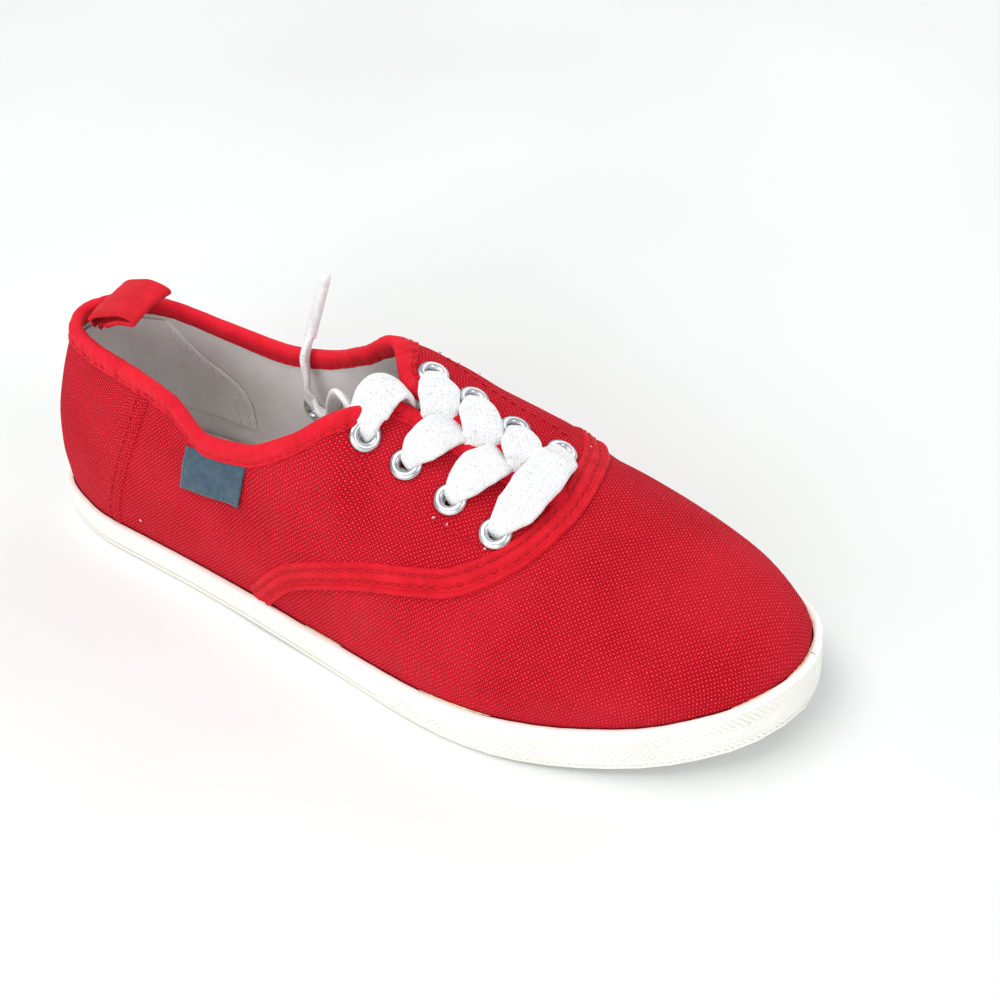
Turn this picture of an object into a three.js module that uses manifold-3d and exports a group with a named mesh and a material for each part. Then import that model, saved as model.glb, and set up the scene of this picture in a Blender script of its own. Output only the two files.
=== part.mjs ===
// Low canvas lace-up sneaker, right shoe, standing empty on its sole.
// Millimetres, +Z up, toe towards +X, outer (lateral) side towards -Y.
import * as THREE from 'three';
import { mergeVertices } from 'three/addons/utils/BufferGeometryUtils.js';
import Module from 'manifold-3d';

const wasm = await Module();
wasm.setup();

// ---------------------------------------------------------------- driving sizes
const LENGTH = 250;          // sole, heel to toe
const TOE_SPRING = 7.8;     // rise of the sole under the toe tip
const SPRING_START = 166;    // where the toe spring leaves the floor
const ARCH_RISE = 0.8;       // hollow under the waist of the sole
const ARCH_FROM = 72, ARCH_TO = 122;
const SOLE_EDGE = 1.6;       // thin rubber edge below the tape
const SOLE_THICK = 5.2;      // outsole slab
const TAPE_THICK = 2.2;      // foxing tape
const TAPE_ROUND = 0.7;      // rounding of its top edge
const GAP = 0.3;             // clearance between neighbouring pieces
const WALL = 1.6;            // canvas and lining of the upper
const INSOLE_THICK = 3.0;
const TONGUE_THICK = 1.6, TONGUE_DROP = 3.8;
const EYELET_OD = 9.6, EYELET_BORE = 4.0, EYELET_BARREL = 4.8;
const LACE_WIDTH = 9.0, LACE_THICK = 2.2, LACE_CORD = 3.4;
const LABEL_LENGTH = 24, LABEL_HEIGHT = 13, LABEL_THICK = 0.6;
const LOOP_WIDTH = 22, LOOP_ROOT = 11, LOOP_TAPE = 1.2;   // the sewn-in root is narrower
const THROAT_Y = 3.5;        // the throat runs a little to the inner side

// height of the foxing tape above the sole's underside, by distance from the heel
const TAPE_HEIGHT = [
  { x: 0, h: 9.8 }, { x: 50, h: 9.6 }, { x: 80, h: 9.8 }, { x: 110, h: 10.4 }, { x: 140, h: 11.6 },
  { x: 165, h: 13 }, { x: 185, h: 13.9 }, { x: 215, h: 14 }, { x: 250, h: 15.4 },
];

// One row for each section round the shoe, from the heel centre by the outer
// side to the toe and back by the inner side.
//   ox, oy       sole outline
//   tx, ty, tz   edge of the opening (collar, then throat)
//   up, lean     how far the wall rises from the tape, and its outward lean in degrees
//   rise, pull   slope of the wall as it reaches the opening, and its reach
const ROWS = [
  { ox: -6, oy: 0.6, tx: 9, ty: 0, tz: 68.5, up: 27.2, lean: 3.6, rise: 66, pull: 18 },
  { ox: -0.8, oy: -18, tx: 12.5, ty: -7.6, tz: 68.6, up: 27.3, lean: 3.6, rise: 66, pull: 18 },
  { ox: 17.4, oy: -27.8, tx: 24, ty: -12.6, tz: 68.6, up: 25.4, lean: 4.3, rise: 70, pull: 18 },
  { ox: 45, oy: -31.6, tx: 44, ty: -16.6, tz: 68, up: 23.7, lean: 3.4, rise: 68, pull: 18 },
  { ox: 62, oy: -33.2, tx: 60.5, ty: -20, tz: 66, up: 22.8, lean: 3.1, rise: 70, pull: 16 },
  { ox: 80, oy: -35.4, tx: 75, ty: -23.6, tz: 58.8, up: 20.8, lean: 2.2, rise: 72, pull: 13 },
  { ox: 97, oy: -38.1, tx: 89, ty: -23.4, tz: 60.4, up: 21.6, lean: 1.5, rise: 69, pull: 14 },
  { ox: 112, oy: -40.1, tx: 104, ty: -19.8, tz: 67.2, up: 22.5, lean: 1.7, rise: 58, pull: 16 },
  { ox: 124, oy: -41.8, tx: 118, ty: -13, tz: 75.4, up: 23.2, lean: 2, rise: 44, pull: 18 },
  { ox: 135, oy: -43.6, tx: 127.5, ty: 1.2, tz: 71.4, up: 23, lean: 1.7, rise: 16, pull: 22 },
  { ox: 149, oy: -45.8, tx: 141, ty: 2, tz: 66.2, up: 21.5, lean: 1.1, rise: 11, pull: 22 },
  { ox: 165, oy: -47.2, tx: 155, ty: 2, tz: 61.2, up: 20, lean: 0.7, rise: 11, pull: 22 },
  { ox: 181, oy: -46.4, tx: 166, ty: 2, tz: 57.2, up: 18.6, lean: 1.3, rise: 12, pull: 22 },
  { ox: 205, oy: -40, tx: 172.4, ty: 2.1, tz: 54.8, up: 16.9, lean: 2.5, rise: 12, pull: 27 },
  { ox: 229.4, oy: -27.7, tx: 174.4, ty: 2.6, tz: 54.1, up: 13.3, lean: 2.1, rise: 15, pull: 32 },
  { ox: 245, oy: -12.2, tx: 175, ty: 3.1, tz: 53.9, up: 11.4, lean: 0.2, rise: 16, pull: 36 },
  { ox: 251.2, oy: 5.4, tx: 175.2, ty: 3.5, tz: 53.8, up: 12.5, lean: 0.4, rise: 16, pull: 38 },
  { ox: 247.2, oy: 20.4, tx: 175, ty: 3.9, tz: 53.9, up: 13.3, lean: -0.2, rise: 14, pull: 37 },
  { ox: 231.6, oy: 34, tx: 174.4, ty: 4.4, tz: 54.1, up: 16.4, lean: 3.4, rise: 12, pull: 34 },
  { ox: 208, oy: 43.4, tx: 172.4, ty: 4.9, tz: 54.8, up: 20, lean: 3.6, rise: 8, pull: 29 },
  { ox: 181, oy: 45, tx: 166, ty: 5, tz: 57.2, up: 25.6, lean: 5.6, rise: 9, pull: 29.7 },
  { ox: 160, oy: 41.6, tx: 155, ty: 5, tz: 61.2, up: 31.1, lean: 8.4, rise: -1, pull: 35.9 },
  { ox: 143, oy: 37.2, tx: 141, ty: 5, tz: 66.2, up: 35.8, lean: 12, rise: -1, pull: 35.5 },
  { ox: 128, oy: 33, tx: 126.5, ty: 6.4, tz: 72, up: 39.2, lean: 11.9, rise: -3.9, pull: 32.5 },
  { ox: 115, oy: 29.8, tx: 113.5, ty: 18.6, tz: 76.2, up: 31.4, lean: 8.9, rise: 30, pull: 26 },
  { ox: 100, oy: 27, tx: 101, ty: 20.8, tz: 68.6, up: 23.6, lean: 5.1, rise: 72, pull: 15 },
  { ox: 82, oy: 25.8, tx: 86, ty: 22.8, tz: 61.2, up: 20.8, lean: 1.6, rise: 80, pull: 14 },
  { ox: 62, oy: 26.6, tx: 66, ty: 24, tz: 56.8, up: 19.8, lean: 4, rise: 82, pull: 14 },
  { ox: 45, oy: 27.6, tx: 48, ty: 21.8, tz: 59.8, up: 21.7, lean: 5, rise: 78, pull: 15 },
  { ox: 17.5, oy: 25.4, tx: 25, ty: 13.8, tz: 67.8, up: 25.4, lean: 5.2, rise: 70, pull: 18 },
  { ox: -0.6, oy: 17.2, tx: 13, ty: 7.6, tz: 68.6, up: 27.3, lean: 3.6, rise: 66, pull: 18 },
];

// lace eyelets, top pair first: plan position of the outer eyelet (x, outer)
// and of the inner eyelet (xi, inner)
const EYELETS = [
  { x: 125, outer: -12.5, xi: 129, inner: 15.8 },
  { x: 137.9, outer: -12.4, xi: 141.6, inner: 16.3 },
  { x: 152.7, outer: -14, xi: 155.7, inner: 15 },
  { x: 167.5, outer: -15.3, xi: 168.6, inner: 18.3 },
];
const VENT = { x: 76.9, y: 23.5, z: 35.7 };   // ventilation eyelet, inner side

// free lace end: from the inside of the top outer eyelet, round inside the
// collar, up and over the inner side's collar
const LACE_ROUTE = [
  { x: 122.6, y: -10.6, z: 62.6 }, { x: 117.5, y: -7.5, z: 67.5 }, { x: 112, y: -3.5, z: 69.3 },
  { x: 106, y: 0.5, z: 66.3 }, { x: 101.5, y: 3.5, z: 59.5 }, { x: 96, y: 8, z: 50 },
  { x: 89, y: 12.6, z: 44.4 }, { x: 82.6, y: 15.4, z: 44.6 }, { x: 80.2, y: 16.3, z: 49 },
  { x: 80.2, y: 17.2, z: 54.4 }, { x: 79.2, y: 19, z: 59.6 }, { x: 78.8, y: 23.6, z: 63.9 },
];
const AGLET = { length: 21, diameter: 3.0, to: { x: 83.4, y: 29.8, z: 83.4 } };

// pull loop at the heel, side view of its inner face: x forward, z up
const LOOP_PROFILE = [
  { x: 15.6, z: 61 }, { x: 15.8, z: 69 }, { x: 17.8, z: 73 }, { x: 22.2, z: 75.8 },
  { x: 28, z: 76.8 }, { x: 33.4, z: 75.8 }, { x: 35.2, z: 73.3 }, { x: 33, z: 71 },
  { x: 27.6, z: 70.4 }, { x: 23.2, z: 69 }, { x: 20, z: 65.8 }, { x: 18.6, z: 61 },
];

// colours and finishes
const FINISH = {
  canvas: { color: 0xb3122c, roughness: 0.9, metalness: 0 },
  tape: { color: 0xc01a34, roughness: 0.75, metalness: 0 },
  rubber: { color: 0xeeebe2, roughness: 0.5, metalness: 0 },
  lining: { color: 0xd9d6d0, roughness: 0.95, metalness: 0 },
  lace: { color: 0xf6f5f2, roughness: 0.85, metalness: 0 },
  metal: { color: 0xc9cacc, roughness: 0.25, metalness: 1 },
  label: { color: 0x3f7286, roughness: 0.8, metalness: 0 },
};

// ---------------------------------------------------------------- small maths
const V = (x, y, z) => new THREE.Vector3(x, y, z);
const rad = THREE.MathUtils.degToRad;
const lerpTable = (table, x, key) => {
  if (x <= table[0].x) return table[0][key];
  for (let i = 1; i < table.length; i++) {
    if (x <= table[i].x) {
      const f = (x - table[i - 1].x) / (table[i].x - table[i - 1].x);
      return table[i - 1][key] + f * (table[i][key] - table[i - 1][key]);
    }
  }
  return table[table.length - 1][key];
};

// station of each row: running length of the outline polygon
const COUNT = ROWS.length;
const STATION = [0];
for (let i = 1; i <= COUNT; i++) {
  const a = ROWS[i - 1], b = ROWS[i % COUNT];
  STATION.push(STATION[i - 1] + Math.hypot(b.ox - a.ox, b.oy - a.oy));
}
const AROUND = STATION[COUNT];

// closed curve through one column: Hermite pieces whose slope at each row comes
// from its two neighbours; `flat` keeps a column from swinging past its rows
function column(key, flat) {
  const val = (i) => ROWS[((i % COUNT) + COUNT) % COUNT][key];
  const len = (i) => { const j = ((i % COUNT) + COUNT) % COUNT; return STATION[j + 1] - STATION[j]; };
  const slope = ROWS.map((_, i) => {
    const h0 = len(i - 1), h1 = len(i);
    const d0 = (val(i) - val(i - 1)) / h0, d1 = (val(i + 1) - val(i)) / h1;
    if (!flat) return (d0 * h1 + d1 * h0) / (h0 + h1);
    if (d0 * d1 <= 0) return 0;
    const w0 = 2 * h1 + h0, w1 = h1 + 2 * h0;
    return (w0 + w1) / (w0 / d0 + w1 / d1);
  });
  return (s) => {
    s = ((s % AROUND) + AROUND) % AROUND;
    let i = 0;
    while (i < COUNT - 1 && s >= STATION[i + 1]) i++;
    const h = len(i), u = (s - STATION[i]) / h;
    const m0 = slope[i] * h, m1 = slope[(i + 1) % COUNT] * h;
    const u2 = u * u, u3 = u2 * u;
    return (2 * u3 - 3 * u2 + 1) * val(i) + (u3 - 2 * u2 + u) * m0
      + (-2 * u3 + 3 * u2) * val(i + 1) + (u3 - u2) * m1;
  };
}
const curve = {};
for (const key of ['ox', 'oy']) curve[key] = column(key, false);
for (const key of ['tx', 'ty', 'tz', 'up', 'lean', 'rise', 'pull']) curve[key] = column(key, true);

// underside of the sole
function ground(x) {
  if (x > SPRING_START) return TOE_SPRING * ((x - SPRING_START) / (LENGTH - SPRING_START)) ** 2;
  if (x > ARCH_FROM && x < ARCH_TO) {
    return ARCH_RISE * Math.sin(Math.PI * (x - ARCH_FROM) / (ARCH_TO - ARCH_FROM)) ** 2;
  }
  return 0;
}
const tapeTop = (x) => ground(x) + lerpTable(TAPE_HEIGHT, x, 'h');

// outline point, moved inward by `inset`, with its outward direction
function outline(s, inset = 0) {
  const e = 0.4;
  const dx = curve.ox(s + e) - curve.ox(s - e), dy = curve.oy(s + e) - curve.oy(s - e);
  const l = Math.hypot(dx, dy);
  const nx = dy / l, ny = -dx / l;
  return { x: curve.ox(s) - nx * inset, y: curve.oy(s) - ny * inset, nx, ny };
}

// ---------------------------------------------------------------- the upper's surface
const INSET = TAPE_THICK + GAP + 0.25;

// outer skin: t 0 at the foxing's top edge, 1 at the opening
function skin(s, t) {
  const f = outline(s, INSET);
  const zf = tapeTop(f.x);
  const top = V(curve.tx(s), curve.ty(s), curve.tz(s));
  const lean = rad(curve.lean(s)), rise = rad(curve.rise(s)), up = curve.up(s), pull = curve.pull(s);
  let px = top.x - f.x, py = top.y - f.y;
  const pl = Math.hypot(px, py) || 1;
  px /= pl; py /= pl;
  const p0 = V(f.x, f.y, zf);
  const p1 = V(f.x + f.nx * up * Math.sin(lean), f.y + f.ny * up * Math.sin(lean), zf + up * Math.cos(lean));
  const p2 = V(top.x - px * pull * Math.cos(rise), top.y - py * pull * Math.cos(rise), top.z - pull * Math.sin(rise));
  const q = 1 - t;
  return V(0, 0, 0)
    .addScaledVector(p0, q * q * q).addScaledVector(p1, 3 * q * q * t)
    .addScaledVector(p2, 3 * q * t * t).addScaledVector(top, t * t * t);
}
function skinNormal(s, t) {
  const e = 0.35, d = 0.004;
  const a = skin(s + e, t).sub(skin(s - e, t));
  const b = skin(s, Math.min(1, t + d)).sub(skin(s, Math.max(0, t - d)));
  return a.cross(b).normalize();
}
const skinAt = (s, t, off) => skin(s, t).addScaledVector(skinNormal(s, t), off);

// station and height of the skin point nearest to a target
function nearest(target, weight = V(1, 1, 1)) {
  let best = { s: 0, t: 0, d: Infinity };
  const cost = (s, t) => {
    const p = skin(s, t).sub(target).multiply(weight);
    return p.lengthSq();
  };
  for (let i = 0; i < 160; i++) {
    for (let j = 0; j <= 20; j++) {
      const s = AROUND * i / 160, t = j / 20, d = cost(s, t);
      if (d < best.d) best = { s, t, d };
    }
  }
  let ds = AROUND / 160, dt = 1 / 20;
  for (let k = 0; k < 24; k++) {
    for (const [a, b] of [[ds, 0], [-ds, 0], [0, dt], [0, -dt]]) {
      const s = best.s + a, t = Math.min(1, Math.max(0, best.t + b)), d = cost(s, t);
      if (d < best.d) best = { s, t, d };
    }
    ds *= 0.75; dt *= 0.75;
  }
  return best;
}
const onTop = (x, y) => nearest(V(x, y, 70), V(1, 1, 0.02));

// ---------------------------------------------------------------- mesh helpers
function geometryOf(points, faces) {
  const g = new THREE.BufferGeometry();
  g.setAttribute('position', new THREE.Float32BufferAttribute(points.flatMap((p) => [p.x, p.y, p.z]), 3));
  g.setIndex(faces.flat());
  g.computeVertexNormals();
  return g;
}
// closed ring: `loops` are rings of points that follow each other round the
// section and close on the first
function ringSolid(loops) {
  const n = loops[0].length, m = loops.length, points = loops.flat(), faces = [];
  for (let j = 0; j < m; j++) {
    for (let i = 0; i < n; i++) {
      const a = j * n + i, b = j * n + (i + 1) % n;
      const c = ((j + 1) % m) * n + (i + 1) % n, d = ((j + 1) % m) * n + i;
      faces.push([a, b, c], [a, c, d]);
    }
  }
  return oriented(geometryOf(points, faces));
}
// slab: rings from the underside to the top, closed by strips straight across
function slabSolid(loops) {
  const n = loops[0].length, m = loops.length, points = loops.flat(), faces = [];
  for (let j = 0; j < m - 1; j++) {
    for (let i = 0; i < n; i++) {
      const a = j * n + i, b = j * n + (i + 1) % n, c = a + n, d = b + n;
      faces.push([a, b, d], [a, d, c]);
    }
  }
  const cap = (base, flip) => {
    const put = (a, b, c) => faces.push(flip ? [base + a, base + c, base + b] : [base + a, base + b, base + c]);
    put(0, 1, n - 1);
    for (let i = 1, k = n - 1; k - i >= 2; i++, k--) {
      put(i, i + 1, k - 1 > i + 1 ? k - 1 : k);
      if (k - 1 > i + 1) put(i, k - 1, k);
    }
  };
  cap(0, true);
  cap((m - 1) * n, false);
  return oriented(geometryOf(points, faces));
}
// sheet of rows and columns with two faces and four closed edges
function sheetSolid(rows, cols, face, back) {
  const points = [], faces = [];
  for (let j = 0; j <= rows; j++) for (let i = 0; i <= cols; i++) points.push(face(i / cols, j / rows));
  const half = points.length;
  for (let j = 0; j <= rows; j++) for (let i = 0; i <= cols; i++) points.push(back(i / cols, j / rows));
  const id = (i, j) => j * (cols + 1) + i;
  for (let j = 0; j < rows; j++) {
    for (let i = 0; i < cols; i++) {
      const a = id(i, j), b = id(i + 1, j), c = id(i + 1, j + 1), d = id(i, j + 1);
      faces.push([a, b, c], [a, c, d], [half + a, half + c, half + b], [half + a, half + d, half + c]);
    }
  }
  const side = (a, b) => faces.push([b, a, half + a], [b, half + a, half + b]);
  for (let i = 0; i < cols; i++) { side(id(i, 0), id(i + 1, 0)); side(id(i + 1, rows), id(i, rows)); }
  for (let j = 0; j < rows; j++) { side(id(0, j + 1), id(0, j)); side(id(cols, j), id(cols, j + 1)); }
  return oriented(geometryOf(points, faces));
}
function volumeOf(g) {
  const p = g.attributes.position, ix = g.index;
  let v = 0;
  const a = V(0, 0, 0), b = V(0, 0, 0), c = V(0, 0, 0);
  for (let i = 0; i < ix.count; i += 3) {
    a.fromBufferAttribute(p, ix.getX(i)); b.fromBufferAttribute(p, ix.getX(i + 1)); c.fromBufferAttribute(p, ix.getX(i + 2));
    v += a.dot(b.clone().cross(c)) / 6;
  }
  return v;
}
function oriented(g) {
  if (volumeOf(g) < 0) {
    const ix = g.index.array;
    for (let i = 0; i < ix.length; i += 3) { const k = ix[i]; ix[i] = ix[i + 1]; ix[i + 1] = k; }
    g.computeVertexNormals();
  }
  return g;
}
function toSolid(geometry) {
  let g = geometry.clone();
  for (const name of Object.keys(g.attributes)) if (name !== 'position') g.deleteAttribute(name);
  g = mergeVertices(g, 1e-4);
  return new wasm.Manifold(new wasm.Mesh({
    numProp: 3, vertProperties: new Float32Array(g.attributes.position.array), triVerts: new Uint32Array(g.index.array),
  }));
}
function fromSolid(solid) {
  const m = solid.getMesh();
  const g = new THREE.BufferGeometry();
  g.setAttribute('position', new THREE.BufferAttribute(new Float32Array(m.vertProperties), 3));
  g.setIndex(new THREE.BufferAttribute(new Uint32Array(m.triVerts), 1));
  g.computeVertexNormals();
  return g;
}
// turn a piece made along +Z so that +Z lies on `n`, and set it at `p`
function placed(g, p, n) {
  const q = new THREE.Quaternion().setFromUnitVectors(V(0, 0, 1), n);
  return g.clone().applyQuaternion(q).translate(p.x, p.y, p.z);
}
// flat lace strand along a path; `across` gives the outward side at each point
function strand(path, across, width, thick) {
  const loops = path.map((p, i) => {
    const a = path[Math.max(0, i - 1)], b = path[Math.min(path.length - 1, i + 1)];
    const along = b.clone().sub(a).normalize();
    const out = across[i].clone().addScaledVector(along, -across[i].dot(along)).normalize();
    const side = along.clone().cross(out);
    const section = [[-0.5, 0.2], [-0.38, 0.85], [0, 1], [0.38, 0.85], [0.5, 0.2], [0.4, 0], [-0.4, 0]];
    return section.map(([u, v]) => p.clone().addScaledVector(side, u * width).addScaledVector(out, v * thick));
  });
  const n = loops[0].length, m = loops.length, points = loops.flat(), faces = [];
  for (let j = 0; j < m - 1; j++) {
    for (let i = 0; i < n; i++) {
      const a = j * n + i, b = j * n + (i + 1) % n, c = a + n, d = b + n;
      faces.push([a, b, d], [a, d, c]);
    }
  }
  for (let i = 1; i < n - 1; i++) {
    faces.push([0, i + 1, i], [(m - 1) * n, (m - 1) * n + i, (m - 1) * n + i + 1]);
  }
  return oriented(geometryOf(points, faces));
}

// ---------------------------------------------------------------- build
const group = new THREE.Group();
const materials = Object.fromEntries(Object.entries(FINISH).map(([k, v]) => [k, new THREE.MeshStandardMaterial({ ...v, name: k })]));
function add(name, geometry, finish) {
  const mesh = new THREE.Mesh(geometry, materials[finish]);
  mesh.name = name;
  group.add(mesh);
  return mesh;
}

// stations round the shoe: each row's span in equal steps
const STEPS = 3;
const RING = [];
for (let i = 0; i < COUNT; i++) {
  for (let k = 0; k < STEPS; k++) RING.push(STATION[i] + (STATION[i + 1] - STATION[i]) * k / STEPS);
}
// symmetrical stations for slabs, heel centre first
const SLAB = [];
for (let i = 0; i < 72; i++) SLAB.push(AROUND * i / 72);

const level = (inset, height) => SLAB.map((s) => { const o = outline(s, inset); return V(o.x, o.y, ground(o.x) + height); });
const above = (inset, drop) => SLAB.map((s) => { const o = outline(s, inset); return V(o.x, o.y, tapeTop(o.x) - drop); });

add('outsole', slabSolid([
  level(0.5, 0), level(0, 0.5), level(0, SOLE_EDGE), level(TAPE_THICK + GAP, SOLE_EDGE), level(TAPE_THICK + GAP, SOLE_THICK),
]), 'rubber');

add('foxing', ringSolid([
  level(0, SOLE_EDGE + GAP), above(0, TAPE_ROUND), above(TAPE_ROUND * 0.6, 0),
  above(TAPE_THICK, 0), level(TAPE_THICK, SOLE_EDGE + GAP),
]), 'rubber');

const insoleInset = INSET + WALL + GAP + 0.5;
add('insole', slabSolid([
  level(insoleInset, SOLE_THICK + GAP), level(insoleInset, SOLE_THICK + GAP + INSOLE_THICK),
]), 'lining');

// upper: outer skin up, over the edge of the opening, inner skin down
const LEVELS = 11;
function upperRing(t, off) { return RING.map((s) => skinAt(s, t, off)); }
function footRing(off) {
  return RING.map((s) => {
    const n = skinNormal(s, 0);
    const l = Math.hypot(n.x, n.y);
    const o = outline(s, INSET);
    return V(o.x + n.x / l * off, o.y + n.y / l * off, ground(o.x) + SOLE_THICK + GAP);
  });
}
const outerLoops = [], innerLoops = [];
for (let j = 0; j <= LEVELS; j++) {
  outerLoops.push(upperRing(j / LEVELS, 0));
  innerLoops.unshift(upperRing(j / LEVELS, -WALL));
}
let upper = toSolid(ringSolid([footRing(0), ...outerLoops, ...innerLoops, footRing(-WALL)]));

// eyelets: turned brass shape with a domed outer flange and a small inner one
const SEGMENTS = 12;
const R = EYELET_OD / 2, RB = EYELET_BORE / 2, RO = EYELET_BARREL / 2;
function eyeletShape(front, back) {
  const section = [
    [RB, front + 0.65], [RB + 1.2, front + 1.05], [R - 0.2, front + 0.4], [R, front], [RO, front],
    [RO, -back], [RO + 1.1, -back], [RO + 1.1, -back - 0.35], [RB, -back - 0.35], [RB, front + 0.65],
  ].map(([r, z]) => new THREE.Vector2(r, z));
  const g = new THREE.LatheGeometry(section, SEGMENTS);
  g.rotateX(Math.PI / 2);
  return g;
}
const seats = [];
EYELETS.forEach((row, i) => {
  for (const side of ['outer', 'inner']) {
    const at = onTop(side === 'outer' ? row.x : row.xi, row[side]);
    seats.push({ name: `eyelet_${side}_${i + 1}`, s: at.s, t: at.t });
  }
});
{
  const at = nearest(V(VENT.x, VENT.y, VENT.z));
  seats.push({ name: 'vent_eyelet', s: at.s, t: at.t });
}
for (const seat of seats) {
  seat.p = skin(seat.s, seat.t);
  seat.n = skinNormal(seat.s, seat.t);
  const drill = new THREE.CylinderGeometry(RO + GAP, RO + GAP, 12, SEGMENTS);
  drill.rotateX(Math.PI / 2);
  upper = upper.subtract(toSolid(placed(drill, seat.p, seat.n)));
}
add('upper', fromSolid(upper), 'canvas');
// highest (or lowest) point of a skin under a flange, along the seat's normal
function reachOf(seat, radius, off, pick) {
  let best = 0;
  const across = skin(seat.s + 1, seat.t).distanceTo(skin(seat.s - 1, seat.t)) / 2;
  const along = skin(seat.s, seat.t + 0.01).distanceTo(skin(seat.s, seat.t - 0.01)) / 0.02;
  for (let k = 0; k < 32; k++) {
    for (const r of [0.5, 1, 1.1]) {
      const a = k / 32 * Math.PI * 2;
      const p = skinAt(seat.s + Math.cos(a) * radius * r / across, Math.min(1, seat.t + Math.sin(a) * radius * r / along), off);
      best = pick(best, p.sub(seat.p).dot(seat.n) - off);
    }
  }
  return best;
}
for (const seat of seats) {
  const front = reachOf(seat, R, 0, Math.max) + GAP + 0.25;
  const back = WALL + GAP + 0.1 - reachOf(seat, RO + 1.1, -WALL, Math.min);
  const g = oriented(fromSolid(toSolid(eyeletShape(front, back))));
  add(seat.name, placed(g, seat.p, seat.n), 'metal');
}

// tongue: under the facings, pushed down into the shoe at its free end
const TONGUE = [
  { x: 127, half: 19, dip: 5.5 }, { x: 136, half: 19, dip: 2.2 }, { x: 150, half: 18.5, dip: 0.4 },
  { x: 166, half: 17.5, dip: 0 }, { x: 186, half: 14, dip: 0 },
];
function tongueAt(u, v, off) {
  const x = TONGUE[0].x + (TONGUE[TONGUE.length - 1].x - TONGUE[0].x) * v;
  const half = lerpTable(TONGUE, x, 'half'), dip = lerpTable(TONGUE, x, 'dip');
  const y = THROAT_Y + (u * 2 - 1) * half;
  const yy = Math.abs(y - THROAT_Y) < 3 ? THROAT_Y + Math.sign(y - THROAT_Y || 1) * 3 : y;
  const at = onTop(x, yy);
  const p = skinAt(at.s, at.t, off);
  return V(x, y, p.z + (x - p.x) * 0.02 - dip);
}
add('tongue', sheetSolid(8, 8, (u, v) => tongueAt(u, v, -TONGUE_DROP), (u, v) => tongueAt(u, v, -TONGUE_DROP - TONGUE_THICK)), 'canvas');

// laces over the facings: a straight bar at the toe end, then three crossings
const LIFT = 0.75;
function onFacing(x, y, lift) {
  const c = y - THROAT_Y;
  if (Math.abs(c) < 2.2) {
    const a = onTop(x, THROAT_Y - 2.2), b = onTop(x, THROAT_Y + 2.2);
    const pa = skinAt(a.s, a.t, lift), pb = skinAt(b.s, b.t, lift), f = (c + 2.2) / 4.4;
    return { p: V(x, y, pa.z * (1 - f) + pb.z * f + 0.5), n: V(0.28, 0, 0.96) };
  }
  const at = onTop(x, y);
  return { p: skinAt(at.s, at.t, lift), n: skinNormal(at.s, at.t) };
}
function laceOver(from, to, width, steps = 6) {
  const path = [], across = [];
  for (let k = 0; k <= steps; k++) {
    const u = k / steps;
    const o = onFacing(from.x + (to.x - from.x) * u, from.y + (to.y - from.y) * u, LIFT);
    path.push(o.p); across.push(o.n);
  }
  return strand(path, across, width, LACE_THICK);
}
const clear = R + 0.7;
{
  const row = EYELETS[3];
  add('lace_bar', laceOver(V(row.x, row.outer + clear, 0), V(row.xi, row.inner - clear, 0), LACE_WIDTH, 8), 'lace');
}
const CROSS_REACH = 5.0, CROSS_WIDTH = 7.0;
for (let i = 0; i < 3; i++) {
  const row = EYELETS[i];
  const mid = V(row.x + CROSS_REACH, THROAT_Y, 0);
  const arm = (side, past) => {
    const e = V(side === 'outer' ? row.x : row.xi, row[side], 0);
    const d = mid.clone().sub(e).normalize();
    return laceOver(e.clone().addScaledVector(d, clear + 1.2), mid.clone().addScaledVector(d, past), CROSS_WIDTH, 5);
  };
  const solid = toSolid(arm('outer', 2)).add(toSolid(arm('inner', 2)));
  add(`lace_cross_${i + 1}`, fromSolid(solid), 'lace');
}

// free lace end and its tip
{
  const path = new THREE.CatmullRomCurve3(LACE_ROUTE.map((p) => V(p.x, p.y, p.z)), false, 'centripetal');
  const ring = new THREE.Shape();
  for (let k = 0; k < 8; k++) {
    const a = k / 8 * Math.PI * 2, x = Math.cos(a) * LACE_CORD / 2, y = Math.sin(a) * LACE_CORD / 2;
    if (k) ring.lineTo(x, y); else ring.moveTo(x, y);
  }
  ring.closePath();
  add('lace_end', new THREE.ExtrudeGeometry(ring, { steps: 26, bevelEnabled: false, extrudePath: path }), 'lace');
  const last = LACE_ROUTE[LACE_ROUTE.length - 1];
  const start = V(last.x, last.y, last.z), dir = V(AGLET.to.x, AGLET.to.y, AGLET.to.z).sub(start).normalize();
  const tip = new THREE.CylinderGeometry(AGLET.diameter / 2, AGLET.diameter / 2, AGLET.length, 8);
  tip.rotateX(Math.PI / 2);
  add('aglet', placed(tip, start.clone().addScaledVector(dir, AGLET.length / 2 + GAP + 0.9), dir), 'lace');
}

// side label: a flat woven tag on the outer quarter, under the collar
{
  const at = nearest(V(79, -30, 46.5));
  const half = LABEL_LENGTH / 2;
  const rise = LABEL_HEIGHT;
  const span = skin(at.s, at.t + 0.05).distanceTo(skin(at.s, at.t - 0.05)) / 0.1;
  const dt = rise / span;
  const grid = (u, v, off) => skinAt(at.s + (u * 2 - 1) * half, at.t - dt / 2 + v * dt, off);
  add('side_label', sheetSolid(2, 4, (u, v) => grid(u, v, GAP + LABEL_THICK), (u, v) => grid(u, v, GAP + 0.05)), 'label');
}

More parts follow.
